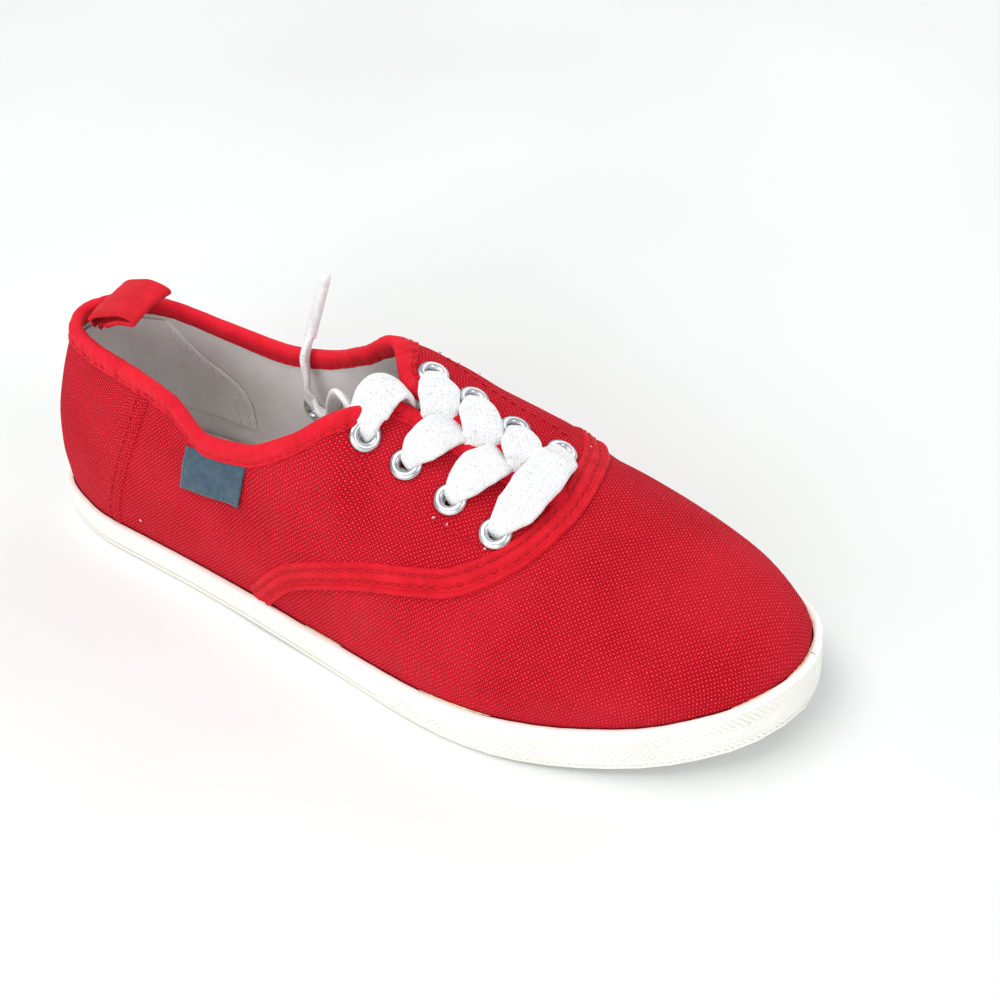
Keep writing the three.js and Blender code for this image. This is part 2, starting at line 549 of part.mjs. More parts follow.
// heel pull loop: a wide tape sewn inside the collar, folded over into a flat tube
{
  const spine = new THREE.CatmullRomCurve3(LOOP_PROFILE.map((p) => V(p.x, 0, p.z)), true, 'centripetal');
  const n = 24;
  const half = (z) => THREE.MathUtils.lerp(LOOP_ROOT, LOOP_WIDTH, THREE.MathUtils.smoothstep(z, 68.6, 72)) / 2;
  const inner = spine.getSpacedPoints(n).slice(0, n);
  const area = inner.reduce((a, p, i) => a + p.x * inner[(i + 1) % n].z - p.z * inner[(i + 1) % n].x, 0);
  const outer = inner.map((p, i) => {
    const d = inner[(i + 1) % n].clone().sub(inner[(i + n - 1) % n]).normalize();
    const k = (area > 0 ? 1 : -1) * LOOP_TAPE;
    return V(p.x + d.z * k, 0, p.z - d.x * k);
  });
  const shift = (loop, side) => loop.map((p) => V(p.x, 0.6 + side * half(p.z), p.z));
  add('heel_loop', ringSolid([shift(outer, -1), shift(outer, 1), shift(inner, 1), shift(inner, -1)]), 'tape');
}

// origin: centre of the footprint, on the floor
const box = new THREE.Box3();
for (const mesh of group.children) {
  if (mesh.name === 'lace_end' || mesh.name === 'aglet') continue;
  mesh.geometry.computeBoundingBox();
  box.union(mesh.geometry.boundingBox);
}
const centre = box.getCenter(V(0, 0, 0));
for (const mesh of group.children) mesh.geometry.translate(-centre.x, -centre.y, -box.min.z);

export default group;
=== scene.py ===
import math
import bpy
import numpy as np
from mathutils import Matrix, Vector
from mathutils.bvhtree import BVHTree


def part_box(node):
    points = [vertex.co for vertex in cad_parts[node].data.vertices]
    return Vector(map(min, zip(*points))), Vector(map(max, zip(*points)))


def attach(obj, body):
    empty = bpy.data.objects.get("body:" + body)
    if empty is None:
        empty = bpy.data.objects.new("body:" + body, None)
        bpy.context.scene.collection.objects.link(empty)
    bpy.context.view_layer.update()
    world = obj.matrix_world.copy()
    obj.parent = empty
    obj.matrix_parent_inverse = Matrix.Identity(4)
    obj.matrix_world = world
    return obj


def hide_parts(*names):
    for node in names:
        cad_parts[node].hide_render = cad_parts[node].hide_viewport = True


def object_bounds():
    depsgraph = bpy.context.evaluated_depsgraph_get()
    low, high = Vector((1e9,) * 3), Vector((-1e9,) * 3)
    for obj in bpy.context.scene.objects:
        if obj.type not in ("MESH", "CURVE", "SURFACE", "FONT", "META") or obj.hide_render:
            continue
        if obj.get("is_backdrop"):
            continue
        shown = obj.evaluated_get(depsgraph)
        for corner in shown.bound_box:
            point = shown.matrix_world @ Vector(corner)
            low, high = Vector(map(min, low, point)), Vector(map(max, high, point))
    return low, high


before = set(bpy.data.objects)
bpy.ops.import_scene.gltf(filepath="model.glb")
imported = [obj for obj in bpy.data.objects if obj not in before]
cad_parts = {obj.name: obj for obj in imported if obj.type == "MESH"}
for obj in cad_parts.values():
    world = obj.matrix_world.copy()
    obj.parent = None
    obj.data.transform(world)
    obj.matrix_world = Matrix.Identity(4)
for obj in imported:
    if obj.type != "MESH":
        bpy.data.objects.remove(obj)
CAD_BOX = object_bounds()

rng = np.random.default_rng(7)
sc = bpy.context.scene
try:
    sc.view_settings.view_transform = "Standard"
    sc.view_settings.look = "None"
except Exception:
    pass

# ------------------------------------------------------------------ sizes, mm
LENGTH, TOE_SPRING, SPRING_START = 250.0, 7.8, 166.0
ARCH_RISE, ARCH_FROM, ARCH_TO = 0.8, 72.0, 122.0
SOLE_EDGE, SOLE_THICK, TAPE_THICK, GAP, WALL = 1.6, 5.2, 2.2, 0.3, 1.6
INSET = TAPE_THICK + GAP + 0.25
THROAT_Y = 3.5
TAPE_X, TAPE_H = [0, 50, 80, 110, 140, 165, 185, 215, 250], [9.8, 9.6, 9.8, 10.4, 11.6, 13.0, 13.9, 14.0, 15.4]

COLS = ["ox", "oy", "tx", "ty", "tz", "up", "lean", "rise", "pull"]
ROWS = np.array([
    (-6, 0.6, 9, 0, 68.5, 27.2, 3.6, 66, 18),
    (-0.8, -18, 12.5, -7.6, 68.6, 27.3, 3.6, 66, 18),
    (17.4, -27.8, 24, -12.6, 68.6, 25.4, 4.3, 70, 18),
    (45, -31.6, 44, -16.6, 68, 23.7, 3.4, 68, 18),
    (62, -33.2, 60.5, -20, 66, 22.8, 3.1, 70, 16),
    (80, -35.4, 75, -23.6, 58.8, 20.8, 2.2, 72, 13),
    (97, -38.1, 89, -23.4, 60.4, 21.6, 1.5, 69, 14),
    (112, -40.1, 104, -19.8, 67.2, 22.5, 1.7, 58, 16),
    (124, -41.8, 118, -13, 75.4, 23.2, 2, 44, 18),
    (135, -43.6, 127.5, 1.2, 71.4, 23, 1.7, 16, 22),
    (149, -45.8, 141, 2, 66.2, 21.5, 1.1, 11, 22),
    (165, -47.2, 155, 2, 61.2, 20, 0.7, 11, 22),
    (181, -46.4, 166, 2, 57.2, 18.6, 1.3, 12, 22),
    (205, -40, 172.4, 2.1, 54.8, 16.9, 2.5, 12, 27),
    (229.4, -27.7, 174.4, 2.6, 54.1, 13.3, 2.1, 15, 32),
    (245, -12.2, 175, 3.1, 53.9, 11.4, 0.2, 16, 36),
    (251.2, 5.4, 175.2, 3.5, 53.8, 12.5, 0.4, 16, 38),
    (247.2, 20.4, 175, 3.9, 53.9, 13.3, -0.2, 14, 37),
    (231.6, 34, 174.4, 4.4, 54.1, 16.4, 3.4, 12, 34),
    (208, 43.4, 172.4, 4.9, 54.8, 20, 3.6, 8, 29),
    (181, 45, 166, 5, 57.2, 25.6, 5.6, 9, 29.7),
    (160, 41.6, 155, 5, 61.2, 31.1, 8.4, -1, 35.9),
    (143, 37.2, 141, 5, 66.2, 35.8, 12, -1, 35.5),
    (128, 33, 126.5, 6.4, 72, 39.2, 11.9, -3.9, 32.5),
    (115, 29.8, 113.5, 18.6, 76.2, 31.4, 8.9, 30, 26),
    (100, 27, 101, 20.8, 68.6, 23.6, 5.1, 72, 15),
    (82, 25.8, 86, 22.8, 61.2, 20.8, 1.6, 80, 14),
    (62, 26.6, 66, 24, 56.8, 19.8, 4, 82, 14),
    (45, 27.6, 48, 21.8, 59.8, 21.7, 5, 78, 15),
    (17.5, 25.4, 25, 13.8, 67.8, 25.4, 5.2, 70, 18),
    (-0.6, 17.2, 13, 7.6, 68.6, 27.3, 3.6, 66, 18),
], float)
N = len(ROWS)
SEG = np.hypot(np.roll(ROWS[:, 0], -1) - ROWS[:, 0], np.roll(ROWS[:, 1], -1) - ROWS[:, 1])
ST = np.concatenate([[0], np.cumsum(SEG)])
AROUND = ST[-1]


def column(key, flat):
    v = ROWS[:, COLS.index(key)]
    h0, h1 = np.roll(SEG, 1), SEG
    d0, d1 = (v - np.roll(v, 1)) / h0, (np.roll(v, -1) - v) / h1
    if not flat:
        sl = (d0 * h1 + d1 * h0) / (h0 + h1)
    else:
        w0, w1 = 2 * h1 + h0, h1 + 2 * h0
        ok = d0 * d1 > 0
        sl = np.where(ok, (w0 + w1) / (w0 / np.where(ok, d0, 1) + w1 / np.where(ok, d1, 1)), 0)

    def f(s):
        s = np.mod(s, AROUND)
        i = np.clip(np.searchsorted(ST, s, side="right") - 1, 0, N - 1)
        h = SEG[i]
        u = (s - ST[i]) / h
        j = (i + 1) % N
        u2, u3 = u * u, u * u * u
        return ((2 * u3 - 3 * u2 + 1) * v[i] + (u3 - 2 * u2 + u) * sl[i] * h
                + (-2 * u3 + 3 * u2) * v[j] + (u3 - u2) * sl[j] * h)
    return f


C = {k: column(k, False) for k in ("ox", "oy")}
C.update({k: column(k, True) for k in ("tx", "ty", "tz", "up", "lean", "rise", "pull")})


def ground(x):
    x = np.asarray(x, float)
    z = np.where(x > SPRING_START, TOE_SPRING * ((x - SPRING_START) / (LENGTH - SPRING_START)) ** 2, 0)
    arch = ARCH_RISE * np.sin(np.pi * (x - ARCH_FROM) / (ARCH_TO - ARCH_FROM)) ** 2
    return np.where((x > ARCH_FROM) & (x < ARCH_TO), arch, z)


def tape_top(x):
    return ground(x) + np.interp(x, TAPE_X, TAPE_H)


def outline(s, inset=0.0):
    e = 0.4
    dx = C["ox"](s + e) - C["ox"](s - e)
    dy = C["oy"](s + e) - C["oy"](s - e)
    l = np.hypot(dx, dy)
    nx, ny = dy / l, -dx / l
    return C["ox"](s) - nx * inset, C["oy"](s) - ny * inset, nx, ny


def skin(s, t):
    s, t = np.broadcast_arrays(np.asarray(s, float), np.asarray(t, float))
    fx, fy, nx, ny = outline(s, INSET)
    zf = tape_top(fx)
    tx, ty, tz = C["tx"](s), C["ty"](s), C["tz"](s)
    le, ri, up, pu = np.radians(C["lean"](s)), np.radians(C["rise"](s)), C["up"](s), C["pull"](s)
    px, py = tx - fx, ty - fy
    pl = np.hypot(px, py)
    px, py = px / pl, py / pl
    p0 = np.stack([fx, fy, zf], -1)
    p1 = np.stack([fx + nx * up * np.sin(le), fy + ny * up * np.sin(le), zf + up * np.cos(le)], -1)
    p2 = np.stack([tx - px * pu * np.cos(ri), ty - py * pu * np.cos(ri), tz - pu * np.sin(ri)], -1)
    p3 = np.stack([tx, ty, tz], -1)
    q, t = (1 - t)[..., None], t[..., None]
    return q ** 3 * p0 + 3 * q * q * t * p1 + 3 * q * t * t * p2 + t ** 3 * p3


def skin_normal(s, t):
    e, d = 0.35, 0.004
    a = skin(s + e, t) - skin(s - e, t)
    b = skin(s, np.minimum(1, t + d)) - skin(s, np.maximum(0, t - d))
    n = np.cross(a, b)
    return n / np.maximum(np.linalg.norm(n, axis=-1)[..., None], 1e-9)


# place of the part's frame: the same footprint centre as the solids
_s72 = AROUND * np.arange(72) / 72
_ox, _oy, _, _ = outline(_s72)
DX, DY = (_ox.min() + _ox.max()) / 2, (_oy.min() + _oy.max()) / 2
SHIFT = np.array([DX, DY, 0.0])


def to_m(p):
    return (np.asarray(p, float) - SHIFT) / 1000.0


def unit(v):
    v = np.asarray(v, float)
    return v / np.maximum(np.linalg.norm(v, axis=-1, keepdims=True), 1e-9)


def smooth(x, a, b):
    u = np.clip((np.asarray(x, float) - a) / (b - a), 0, 1)
    return u * u * (3 - 2 * u)


# ------------------------------------------------------------------ mesh helpers
def make(name, verts, faces, mat, uv=None, face_mat=None, body="root", shade=True, attrs=None):
    """verts in mm; uv is per vertex (mm) or per loop."""
    me = bpy.data.meshes.new(name)
    v = to_m(verts)
    faces = np.asarray(faces) if not isinstance(faces, list) else faces
    me.from_pydata(v.tolist(), [], faces.tolist() if isinstance(faces, np.ndarray) else faces)
    mats = mat if isinstance(mat, (list, tuple)) else [mat]
    for m in mats:
        me.materials.append(m)
    if face_mat is not None:
        me.polygons.foreach_set("material_index", np.asarray(face_mat, np.int32))
    if uv is not None:
        layer = me.uv_layers.new(name="UVMap")
        li = np.zeros(len(me.loops), np.int32)
        me.loops.foreach_get("vertex_index", li)
        data = uv[li] if len(uv) == len(v) else uv
        layer.data.foreach_set("uv", np.asarray(data, np.float32).ravel())
    if attrs:
        for k, a in attrs.items():
            at = me.attributes.new(k, "FLOAT", "POINT")
            at.data.foreach_set("value", np.asarray(a, np.float32))
    me.polygons.foreach_set("use_smooth", np.full(len(me.polygons), shade))
    me.update()
    ob = bpy.data.objects.new(name, me)
    sc.collection.objects.link(ob)
    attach(ob, body)
    return ob


def grid_faces(n, m, wrap_n=False, wrap_m=False, base=0):
    """n columns by m rows, index = i*m + j"""
    i = np.arange(n if wrap_n else n - 1)
    j = np.arange(m if wrap_m else m - 1)
    I, J = np.meshgrid(i, j, indexing="ij")
    I2, J2 = (I + 1) % n, (J + 1) % m
    return (np.stack([I * m + J, I2 * m + J, I2 * m + J2, I * m + J2], -1).reshape(-1, 4) + base)


def catmull(points, n, closed=False):
    p = np.asarray(points, float)
    if closed:
        q = np.vstack([p[-1:], p, p[:2]])
    else:
        q = np.vstack([2 * p[:1] - p[1:2], p, 2 * p[-1:] - p[-2:-1]])
    out = []
    segs = len(q) - 3
    k = 24
    for i in range(segs):
        u = np.linspace(0, 1, k, endpoint=False)[:, None]
        a, b, c, d = q[i], q[i + 1], q[i + 2], q[i + 3]
        out.append(0.5 * (2 * b + (c - a) * u + (2 * a - 5 * b + 4 * c - d) * u ** 2 + (3 * b - a - 3 * c + d) * u ** 3))
    out = np.vstack(out + [q[-2][None]])
    l = np.concatenate([[0], np.cumsum(np.linalg.norm(np.diff(out, axis=0), axis=1))])
    w = np.linspace(0, l[-1], n)
    return np.stack([np.interp(w, l, out[:, i]) for i in range(out.shape[1])], -1)


# ------------------------------------------------------------------ materials
def new_mat(name):
    m = bpy.data.materials.new(name)
    m.use_nodes = True
    nt = m.node_tree
    bsdf = nt.nodes["Principled BSDF"]
    return m, nt, bsdf


class G:
    """small helper that writes shader node sums"""

    def __init__(self, nt):
        self.nt = nt

    def math(self, op, a, b=None, c=None, clamp=False):
        n = self.nt.nodes.new("ShaderNodeMath")
        n.operation = op
        n.use_clamp = clamp
        for i, v in enumerate((a, b, c)):
            if v is None:
                continue
            if isinstance(v, (int, float)):
                n.inputs[i].default_value = v
            else:
                self.nt.links.new(v, n.inputs[i])
        return n.outputs[0]

    def noise(self, vec, scale, detail=3, rough=0.55, dims="3D"):
        n = self.nt.nodes.new("ShaderNodeTexNoise")
        n.noise_dimensions = dims
        n.inputs["Scale"].default_value = scale
        n.inputs["Detail"].default_value = detail
        n.inputs["Roughness"].default_value = rough
        if vec is not None:
            self.nt.links.new(vec, n.inputs["Vector"])
        return n.outputs["Fac"]

    def uv(self):
        n = self.nt.nodes.new("ShaderNodeUVMap")
        n.uv_map = "UVMap"
        return n.outputs[0]

    def obj(self):
        n = self.nt.nodes.new("ShaderNodeTexCoord")
        return n.outputs["Object"]

    def sep(self, v):
        n = self.nt.nodes.new("ShaderNodeSeparateXYZ")
        self.nt.links.new(v, n.inputs[0])
        return n.outputs

    def comb(self, x, y, z=0.0):
        n = self.nt.nodes.new("ShaderNodeCombineXYZ")
        for i, v in enumerate((x, y, z)):
            if isinstance(v, (int, float)):
                n.inputs[i].default_value = v
            else:
                self.nt.links.new(v, n.inputs[i])
        return n.outputs[0]

    def ramp(self, fac, stops):
        n = self.nt.nodes.new("ShaderNodeValToRGB")
        e = n.color_ramp.elements
        while len(e) < len(stops):
            e.new(0.5)
        for i, (p, c) in enumerate(stops):
            e[i].position = p
            e[i].color = (*c, 1)
        self.nt.links.new(fac, n.inputs[0])
        return n.outputs[0]

    def mix(self, fac, a, b, mode="MIX"):
        n = self.nt.nodes.new("ShaderNodeMix")
        n.data_type = "RGBA"
        n.blend_type = mode
        for sock, v in ((n.inputs[0], fac), (n.inputs[6], a), (n.inputs[7], b)):
            if isinstance(v, (int, float)):
                sock.default_value = v
            elif isinstance(v, tuple):
                sock.default_value = (*v, 1)
            else:
                self.nt.links.new(v, sock)
        return n.outputs[2]

    def attr(self, name):
        n = self.nt.nodes.new("ShaderNodeAttribute")
        n.attribute_name = name
        return n.outputs["Fac"]

    def bump(self, h, dist, strength=1.0, normal=None):
        n = self.nt.nodes.new("ShaderNodeBump")
        n.inputs["Distance"].default_value = dist
        n.inputs["Strength"].default_value = strength
        self.nt.links.new(h, n.inputs["Height"])
        if normal is not None:
            self.nt.links.new(normal, n.inputs["Normal"])
        return n.outputs[0]


def srgb(r, g, b):
    f = lambda c: (c / 255 / 12.92) if c / 255 <= 0.04045 else ((c / 255 + 0.055) / 1.055) ** 2.4
    return (f(r), f(g), f(b))


def weave_height(g, pitch, angle=0.0, warp=0.35, second=0.5):
    """height of a plain weave: staggered thread crowns, with uneven threads"""
    u, v, _ = g.sep(g.uv())
    if angle:
        c, s = math.cos(angle), math.sin(angle)
        u2 = g.math("ADD", g.math("MULTIPLY", u, c), g.math("MULTIPLY", v, s))
        v2 = g.math("SUBTRACT", g.math("MULTIPLY", v, c), g.math("MULTIPLY", u, s))
        u, v = u2, v2
    n1 = g.noise(g.comb(g.math("MULTIPLY", u, 0.35), g.math("MULTIPLY", v, 0.08)), 1.0, 2)
    n2 = g.noise(g.comb(g.math("MULTIPLY", u, 0.08), g.math("MULTIPLY", v, 0.35), 7.0), 1.0, 2)
    uu = g.math("ADD", u, g.math("MULTIPLY", g.math("SUBTRACT", n1, 0.5), warp * 2))
    vv = g.math("ADD", v, g.math("MULTIPLY", g.math("SUBTRACT", n2, 0.5), warp * 2))
    k = math.pi / pitch
    su, sv = g.math("SINE", g.math("MULTIPLY", uu, k)), g.math("SINE", g.math("MULTIPLY", vv, k))
    cc = g.math("MULTIPLY", su, sv)
    pos = g.math("MAXIMUM", cc, 0.0)
    neg = g.math("MAXIMUM", g.math("MULTIPLY", cc, -1.0), 0.0)
    h = g.math("ADD", g.math("POWER", pos, 0.6), g.math("MULTIPLY", g.math("POWER", neg, 0.6), second))
    return h, uu, vv


def canvas(name, angle=0.0, pitch=0.74, dark=(112, 0, 8), mid=(208, 2, 26), light=(255, 58, 78), depth=0.00045, tone=1.0):
    m, nt, b = new_mat(name)
    g = G(nt)
    h, uu, vv = weave_height(g, pitch, angle, 0.5, 0.36)
    # slubs: some threads thicker, and the height ramp below paints them lighter
    slub = g.noise(g.comb(g.math("MULTIPLY", uu, 1.4), g.math("MULTIPLY", vv, 0.12)), 1.0, 2)
    slub2 = g.noise(g.comb(g.math("MULTIPLY", uu, 0.12), g.math("MULTIPLY", vv, 1.4), 3.0), 1.0, 2)
    fine = g.noise(g.obj(), 2600, 2, 0.6)
    broad = g.noise(g.obj(), 34, 3, 0.5)
    knots = g.noise(g.comb(g.math("MULTIPLY", uu, 0.9), g.math("MULTIPLY", vv, 0.9), 5.0), 1.0, 2, 0.7)
    hh = g.math("MULTIPLY", h, g.math("ADD", 0.25, g.math("MULTIPLY", g.math("ADD", g.math("ADD", slub, slub2), knots), 0.52)))
    hh = g.math("ADD", hh, g.math("MULTIPLY", fine, 0.26))
    # colour by thread height: gaps take the dark tone as painted shade, crowns take the light tone as painted
    # highlight
    col = g.ramp(hh, [(0.06, srgb(*dark)), (0.5, srgb(*mid)), (1.0, srgb(*light))])
    col = g.mix(g.math("MULTIPLY", g.math("SUBTRACT", broad, 0.35), 0.55, clamp=True), col, tuple(c * 1.12 for c in srgb(*light)))
    nt.links.new(col, b.inputs["Base Color"])
    b.inputs["Roughness"].default_value = 0.88
    b.inputs["Specular IOR Level"].default_value = 0.12
    b.inputs["Sheen Weight"].default_value = 0.03
    b.inputs["Sheen Roughness"].default_value = 0.45
    b.inputs["Sheen Tint"].default_value = (1.0, 0.35, 0.42, 1)
    nt.links.new(g.bump(hh, depth, 1.0), b.inputs["Normal"])
    return m


def tape_mat(name, base=(208, 6, 28), dark=(150, 0, 12), light=(240, 36, 56), pitch=0.34, depth=0.00010, sheen=0.07, furrow=None):
    m, nt, b = new_mat(name)
    g = G(nt)
    h, uu, vv = weave_height(g, pitch, 0.0, 0.08, 0.8)
    broad = g.noise(g.obj(), 60, 3, 0.5)
    fine = g.noise(g.obj(), 3000, 2)
    f = g.math("ADD", g.math("MULTIPLY", h, 0.5), g.math("MULTIPLY", g.math("ADD", broad, fine), 0.32))
    blot = g.noise(g.obj(), 190, 3, 0.6)
    f = g.math("ADD", f, g.math("MULTIPLY", g.math("SUBTRACT", blot, 0.5), 0.5))
    # colour partly by weave height, as painted shade in the gaps and painted highlight on the crowns, partly random
    # tone from noise
    col = g.ramp(f, [(0.15, srgb(*dark)), (0.5, srgb(*base)), (0.95, srgb(*light))])
    # painted shade: a darker band in the groove along each stitch row, deepest at the needle holes one stitch apart
    if furrow is not None:
        u_, v_, _ = g.sep(g.uv())
        off = g.math("ABSOLUTE", g.math("SUBTRACT", g.math("ABSOLUTE", v_), furrow))
        near = g.math("SUBTRACT", 1.0, g.math("DIVIDE", off, 0.62), clamp=True)
        needle_hole_shade = g.math("ADD", 0.55, g.math("MULTIPLY", g.math("SINE", g.math("MULTIPLY", u_, 2 * math.pi / 3.35)), 0.45))
        col = g.mix(g.math("MULTIPLY", near, g.math("MULTIPLY", needle_hole_shade, 0.8), clamp=True), col, srgb(128, 0, 10))
    nt.links.new(col, b.inputs["Base Color"])
    b.inputs["Roughness"].default_value = 0.72
    b.inputs["Specular IOR Level"].default_value = 0.2
    b.inputs["Sheen Weight"].default_value = sheen
    b.inputs["Sheen Roughness"].default_value = 0.4
    b.inputs["Sheen Tint"].default_value = (1.0, 0.45, 0.5, 1)
    pucker = g.noise(g.obj(), 420, 2)
    hb = g.math("ADD", g.math("MULTIPLY", h, 0.5), g.math("MULTIPLY", pucker, 1.2))
    nt.links.new(g.bump(hb, depth * 1.6, 0.9), b.inputs["Normal"])
    return m


def plain_cloth(name, base, dark, pitch=0.5, depth=0.00012, angle=0.0, stain=0.25):
    m, nt, b = new_mat(name)
    g = G(nt)
    h, uu, vv = weave_height(g, pitch, angle, 0.15, 0.8)
    broad = g.noise(g.obj(), 45, 4, 0.6)
    f = g.math("ADD", g.math("MULTIPLY", h, 0.35), g.math("MULTIPLY", broad, 0.9))
    col = g.ramp(f, [(0.2, srgb(*dark)), (0.8, srgb(*base))])
    nt.links.new(col, b.inputs["Base Color"])
    b.inputs["Roughness"].default_value = 0.95
    b.inputs["Specular IOR Level"].default_value = 0.2
    nt.links.new(g.bump(h, depth, 1.0), b.inputs["Normal"])
    return m


def rubber_mat(name):
    m, nt, b = new_mat(name)
    g = G(nt)
    o = g.obj()
    broad = g.noise(o, 30, 4, 0.55)
    mid = g.noise(o, 260, 3, 0.6)
    fine = g.noise(o, 1800, 2, 0.6)
    col = g.ramp(g.math("ADD", g.math("MULTIPLY", broad, 0.7), g.math("MULTIPLY", mid, 0.3)),
                 [(0.3, srgb(243, 240, 230)), (0.55, srgb(250, 248, 243)), (0.8, srgb(254, 253, 250))])
    # darker, warmer tint towards the floor in the lowest 6 mm, broken up by noise
    _, _, z = g.sep(o)
    low = g.math("SUBTRACT", 1.0, g.math("DIVIDE", z, 0.006), clamp=True)
    darker_near_floor = g.math("MULTIPLY", low, g.math("MULTIPLY", mid, 0.45), clamp=True)
    col = g.mix(darker_near_floor, col, srgb(222, 216, 202))
    nt.links.new(col, b.inputs["Base Color"])
    b.inputs["Roughness"].default_value = 0.46
    b.inputs["Specular IOR Level"].default_value = 0.42
    b.inputs["Subsurface Weight"].default_value = 0.06
    b.inputs["Subsurface Radius"].default_value = (0.002, 0.0018, 0.0014)
    h = g.math("ADD", g.math("MULTIPLY", mid, 0.6), g.math("MULTIPLY", fine, 0.5))
    nt.links.new(g.bump(h, 0.00012, 0.7), b.inputs["Normal"])
    return m


def lace_mat(name, base=(230, 230, 231), dark=(186, 186, 190)):
    m, nt, b = new_mat(name)
    g = G(nt)
    u, v, _ = g.sep(g.uv())
    # flat braid: slanting strands that mirror at the middle
    a = g.math("ABSOLUTE", u)
    d1 = g.math("SINE", g.math("MULTIPLY", g.math("ADD", g.math("MULTIPLY", a, 0.9), v), 2 * math.pi / 0.95))
    d2 = g.math("SINE", g.math("MULTIPLY", u, 2 * math.pi / 1.0))
    h = g.math("ADD", g.math("MULTIPLY", d1, 0.6), g.math("MULTIPLY", d2, 0.4))
    n = g.noise(g.obj(), 900, 3)
    f = g.math("ADD", g.math("MULTIPLY", h, 0.16), g.math("MULTIPLY", n, 0.9))
    # colour mostly random tone from noise; the braid valleys lean towards the dark tone as painted shade
    col = g.ramp(f, [(0.05, srgb(*dark)), (0.4, srgb(*base)), (0.8, srgb(242, 242, 242))])
    nt.links.new(col, b.inputs["Base Color"])
    b.inputs["Roughness"].default_value = 0.9
    b.inputs["Specular IOR Level"].default_value = 0.2
    b.inputs["Sheen Weight"].default_value = 0.2
    b.inputs["Subsurface Weight"].default_value = 0.12
    b.inputs["Subsurface Radius"].default_value = (0.003, 0.003, 0.003)
    hb = g.math("ADD", h, g.math("MULTIPLY", n, 0.8))
    nt.links.new(g.bump(hb, 0.00007, 0.8), b.inputs["Normal"])
    return m


def metal_mat(name):
    m, nt, b = new_mat(name)
    g = G(nt)
    n = g.noise(g.obj(), 700, 3)
    n2 = g.noise(g.obj(), 150, 3)
    col = g.ramp(n2, [(0.3, srgb(176, 178, 182)), (0.7, srgb(226, 227, 229))])
    nt.links.new(col, b.inputs["Base Color"])
    b.inputs["Metallic"].default_value = 1.0
    nt.links.new(g.math("ADD", 0.16, g.math("MULTIPLY", n, 0.22)), b.inputs["Roughness"])
    nt.links.new(g.bump(n, 0.00003, 0.5), b.inputs["Normal"])
    return m


def thread_mat(name, base, dark):
    m, nt, b = new_mat(name)
    g = G(nt)
    n = g.noise(g.obj(), 1500, 2)
    nt.links.new(g.ramp(n, [(0.3, srgb(*dark)), (0.7, srgb(*base))]), b.inputs["Base Color"])
    b.inputs["Roughness"].default_value = 0.7
    b.inputs["Specular IOR Level"].default_value = 0.3
    nt.links.new(g.bump(n, 0.00005, 0.8), b.inputs["Normal"])
    return m


def label_mat(name):
    m, nt, b = new_mat(name)
    g = G(nt)
    u, v, _ = g.sep(g.uv())
    r1 = g.math("SINE", g.math("MULTIPLY", v, 2 * math.pi / 0.42))
    r2 = g.math("SINE", g.math("MULTIPLY", u, 2 * math.pi / 0.6))
    h = g.math("ADD", g.math("MULTIPLY", r1, 0.6), g.math("MULTIPLY", g.math("MULTIPLY", r1, r2), 0.4))
    n = g.noise(g.obj(), 500, 3)
    f = g.math("ADD", g.math("MULTIPLY", h, 0.25), n)
    nt.links.new(g.ramp(f, [(0.2, srgb(16, 48, 66)), (0.55, srgb(34, 74, 96)), (0.95, srgb(70, 112, 132))]), b.inputs["Base Color"])
    b.inputs["Roughness"].default_value = 0.6
    b.inputs["Sheen Weight"].default_value = 0.3
    nt.links.new(g.bump(h, 0.00012, 0.8), b.inputs["Normal"])
    return m


M_VAMP = canvas("canvas_vamp", 0.10)
M_QUARTER = canvas("canvas_quarter", 0.0)
M_HEEL = canvas("canvas_heel", 0.25)
M_TAPE = tape_mat("red_tape")
M_SEAM = tape_mat("red_seam_tape", furrow=1.55)
M_BIND = tape_mat("red_binding", base=(222, 10, 36), dark=(164, 0, 16), light=(246, 46, 66))
M_LINING = plain_cloth("lining", (251, 250, 248), (222, 220, 217), 0.55)
M_PATCH = plain_cloth("lining_patch", (251, 251, 250), (226, 224, 221), 0.8, 0.00016, 0.3)
M_INSOLE = plain_cloth("insole_cloth", (232, 229, 223), (196, 192, 186), 0.7)
M_RUBBER = rubber_mat("white_rubber")
M_LACE = lace_mat("lace_white")
M_METAL = metal_mat("eyelet_metal")
M_STITCH = thread_mat("stitch_red", (216, 14, 40), (168, 2, 20))
M_STITCH_IN = thread_mat("stitch_grey", (232, 230, 226), (206, 203, 198))
M_LABEL = label_mat("label_teal")
# the tongue is the same canvas; its darker middle tone is painted shade for its place under the laces and facings
M_TONGUE_SHADED = canvas("canvas_tongue_painted_shade", 0.0, mid=(176, 2, 22))

# ------------------------------------------------------------------ camera
CAM_POS = np.array([357.894, -281.978, 348.663])
CAM_RIGHT = np.array([0.84563613, 0.52826508, -0.07639065])
CAM_UP = np.array([-0.29233111, 0.57811754, 0.76178909])
CAM_FWD = np.array([-0.44658935, 0.62186502, -0.6433054])
cam = bpy.data.objects.new("camera", bpy.data.cameras.new("camera"))
sc.collection.objects.link(cam)
cam.data.sensor_width = 36.0
cam.data.lens = 36.0 * 1650.0 / 1000.0
cam.data.shift_x = 0.0139
cam.data.shift_y = -0.0285
cam.data.clip_start = 0.01
from mathutils import Matrix
_p = to_m(CAM_POS)
cam.matrix_world = Matrix(((CAM_RIGHT[0], CAM_UP[0], -CAM_FWD[0], _p[0]),
                           (CAM_RIGHT[1], CAM_UP[1], -CAM_FWD[1], _p[1]),
                           (CAM_RIGHT[2], CAM_UP[2], -CAM_FWD[2], _p[2]),
                           (0, 0, 0, 1)))
sc.camera = cam

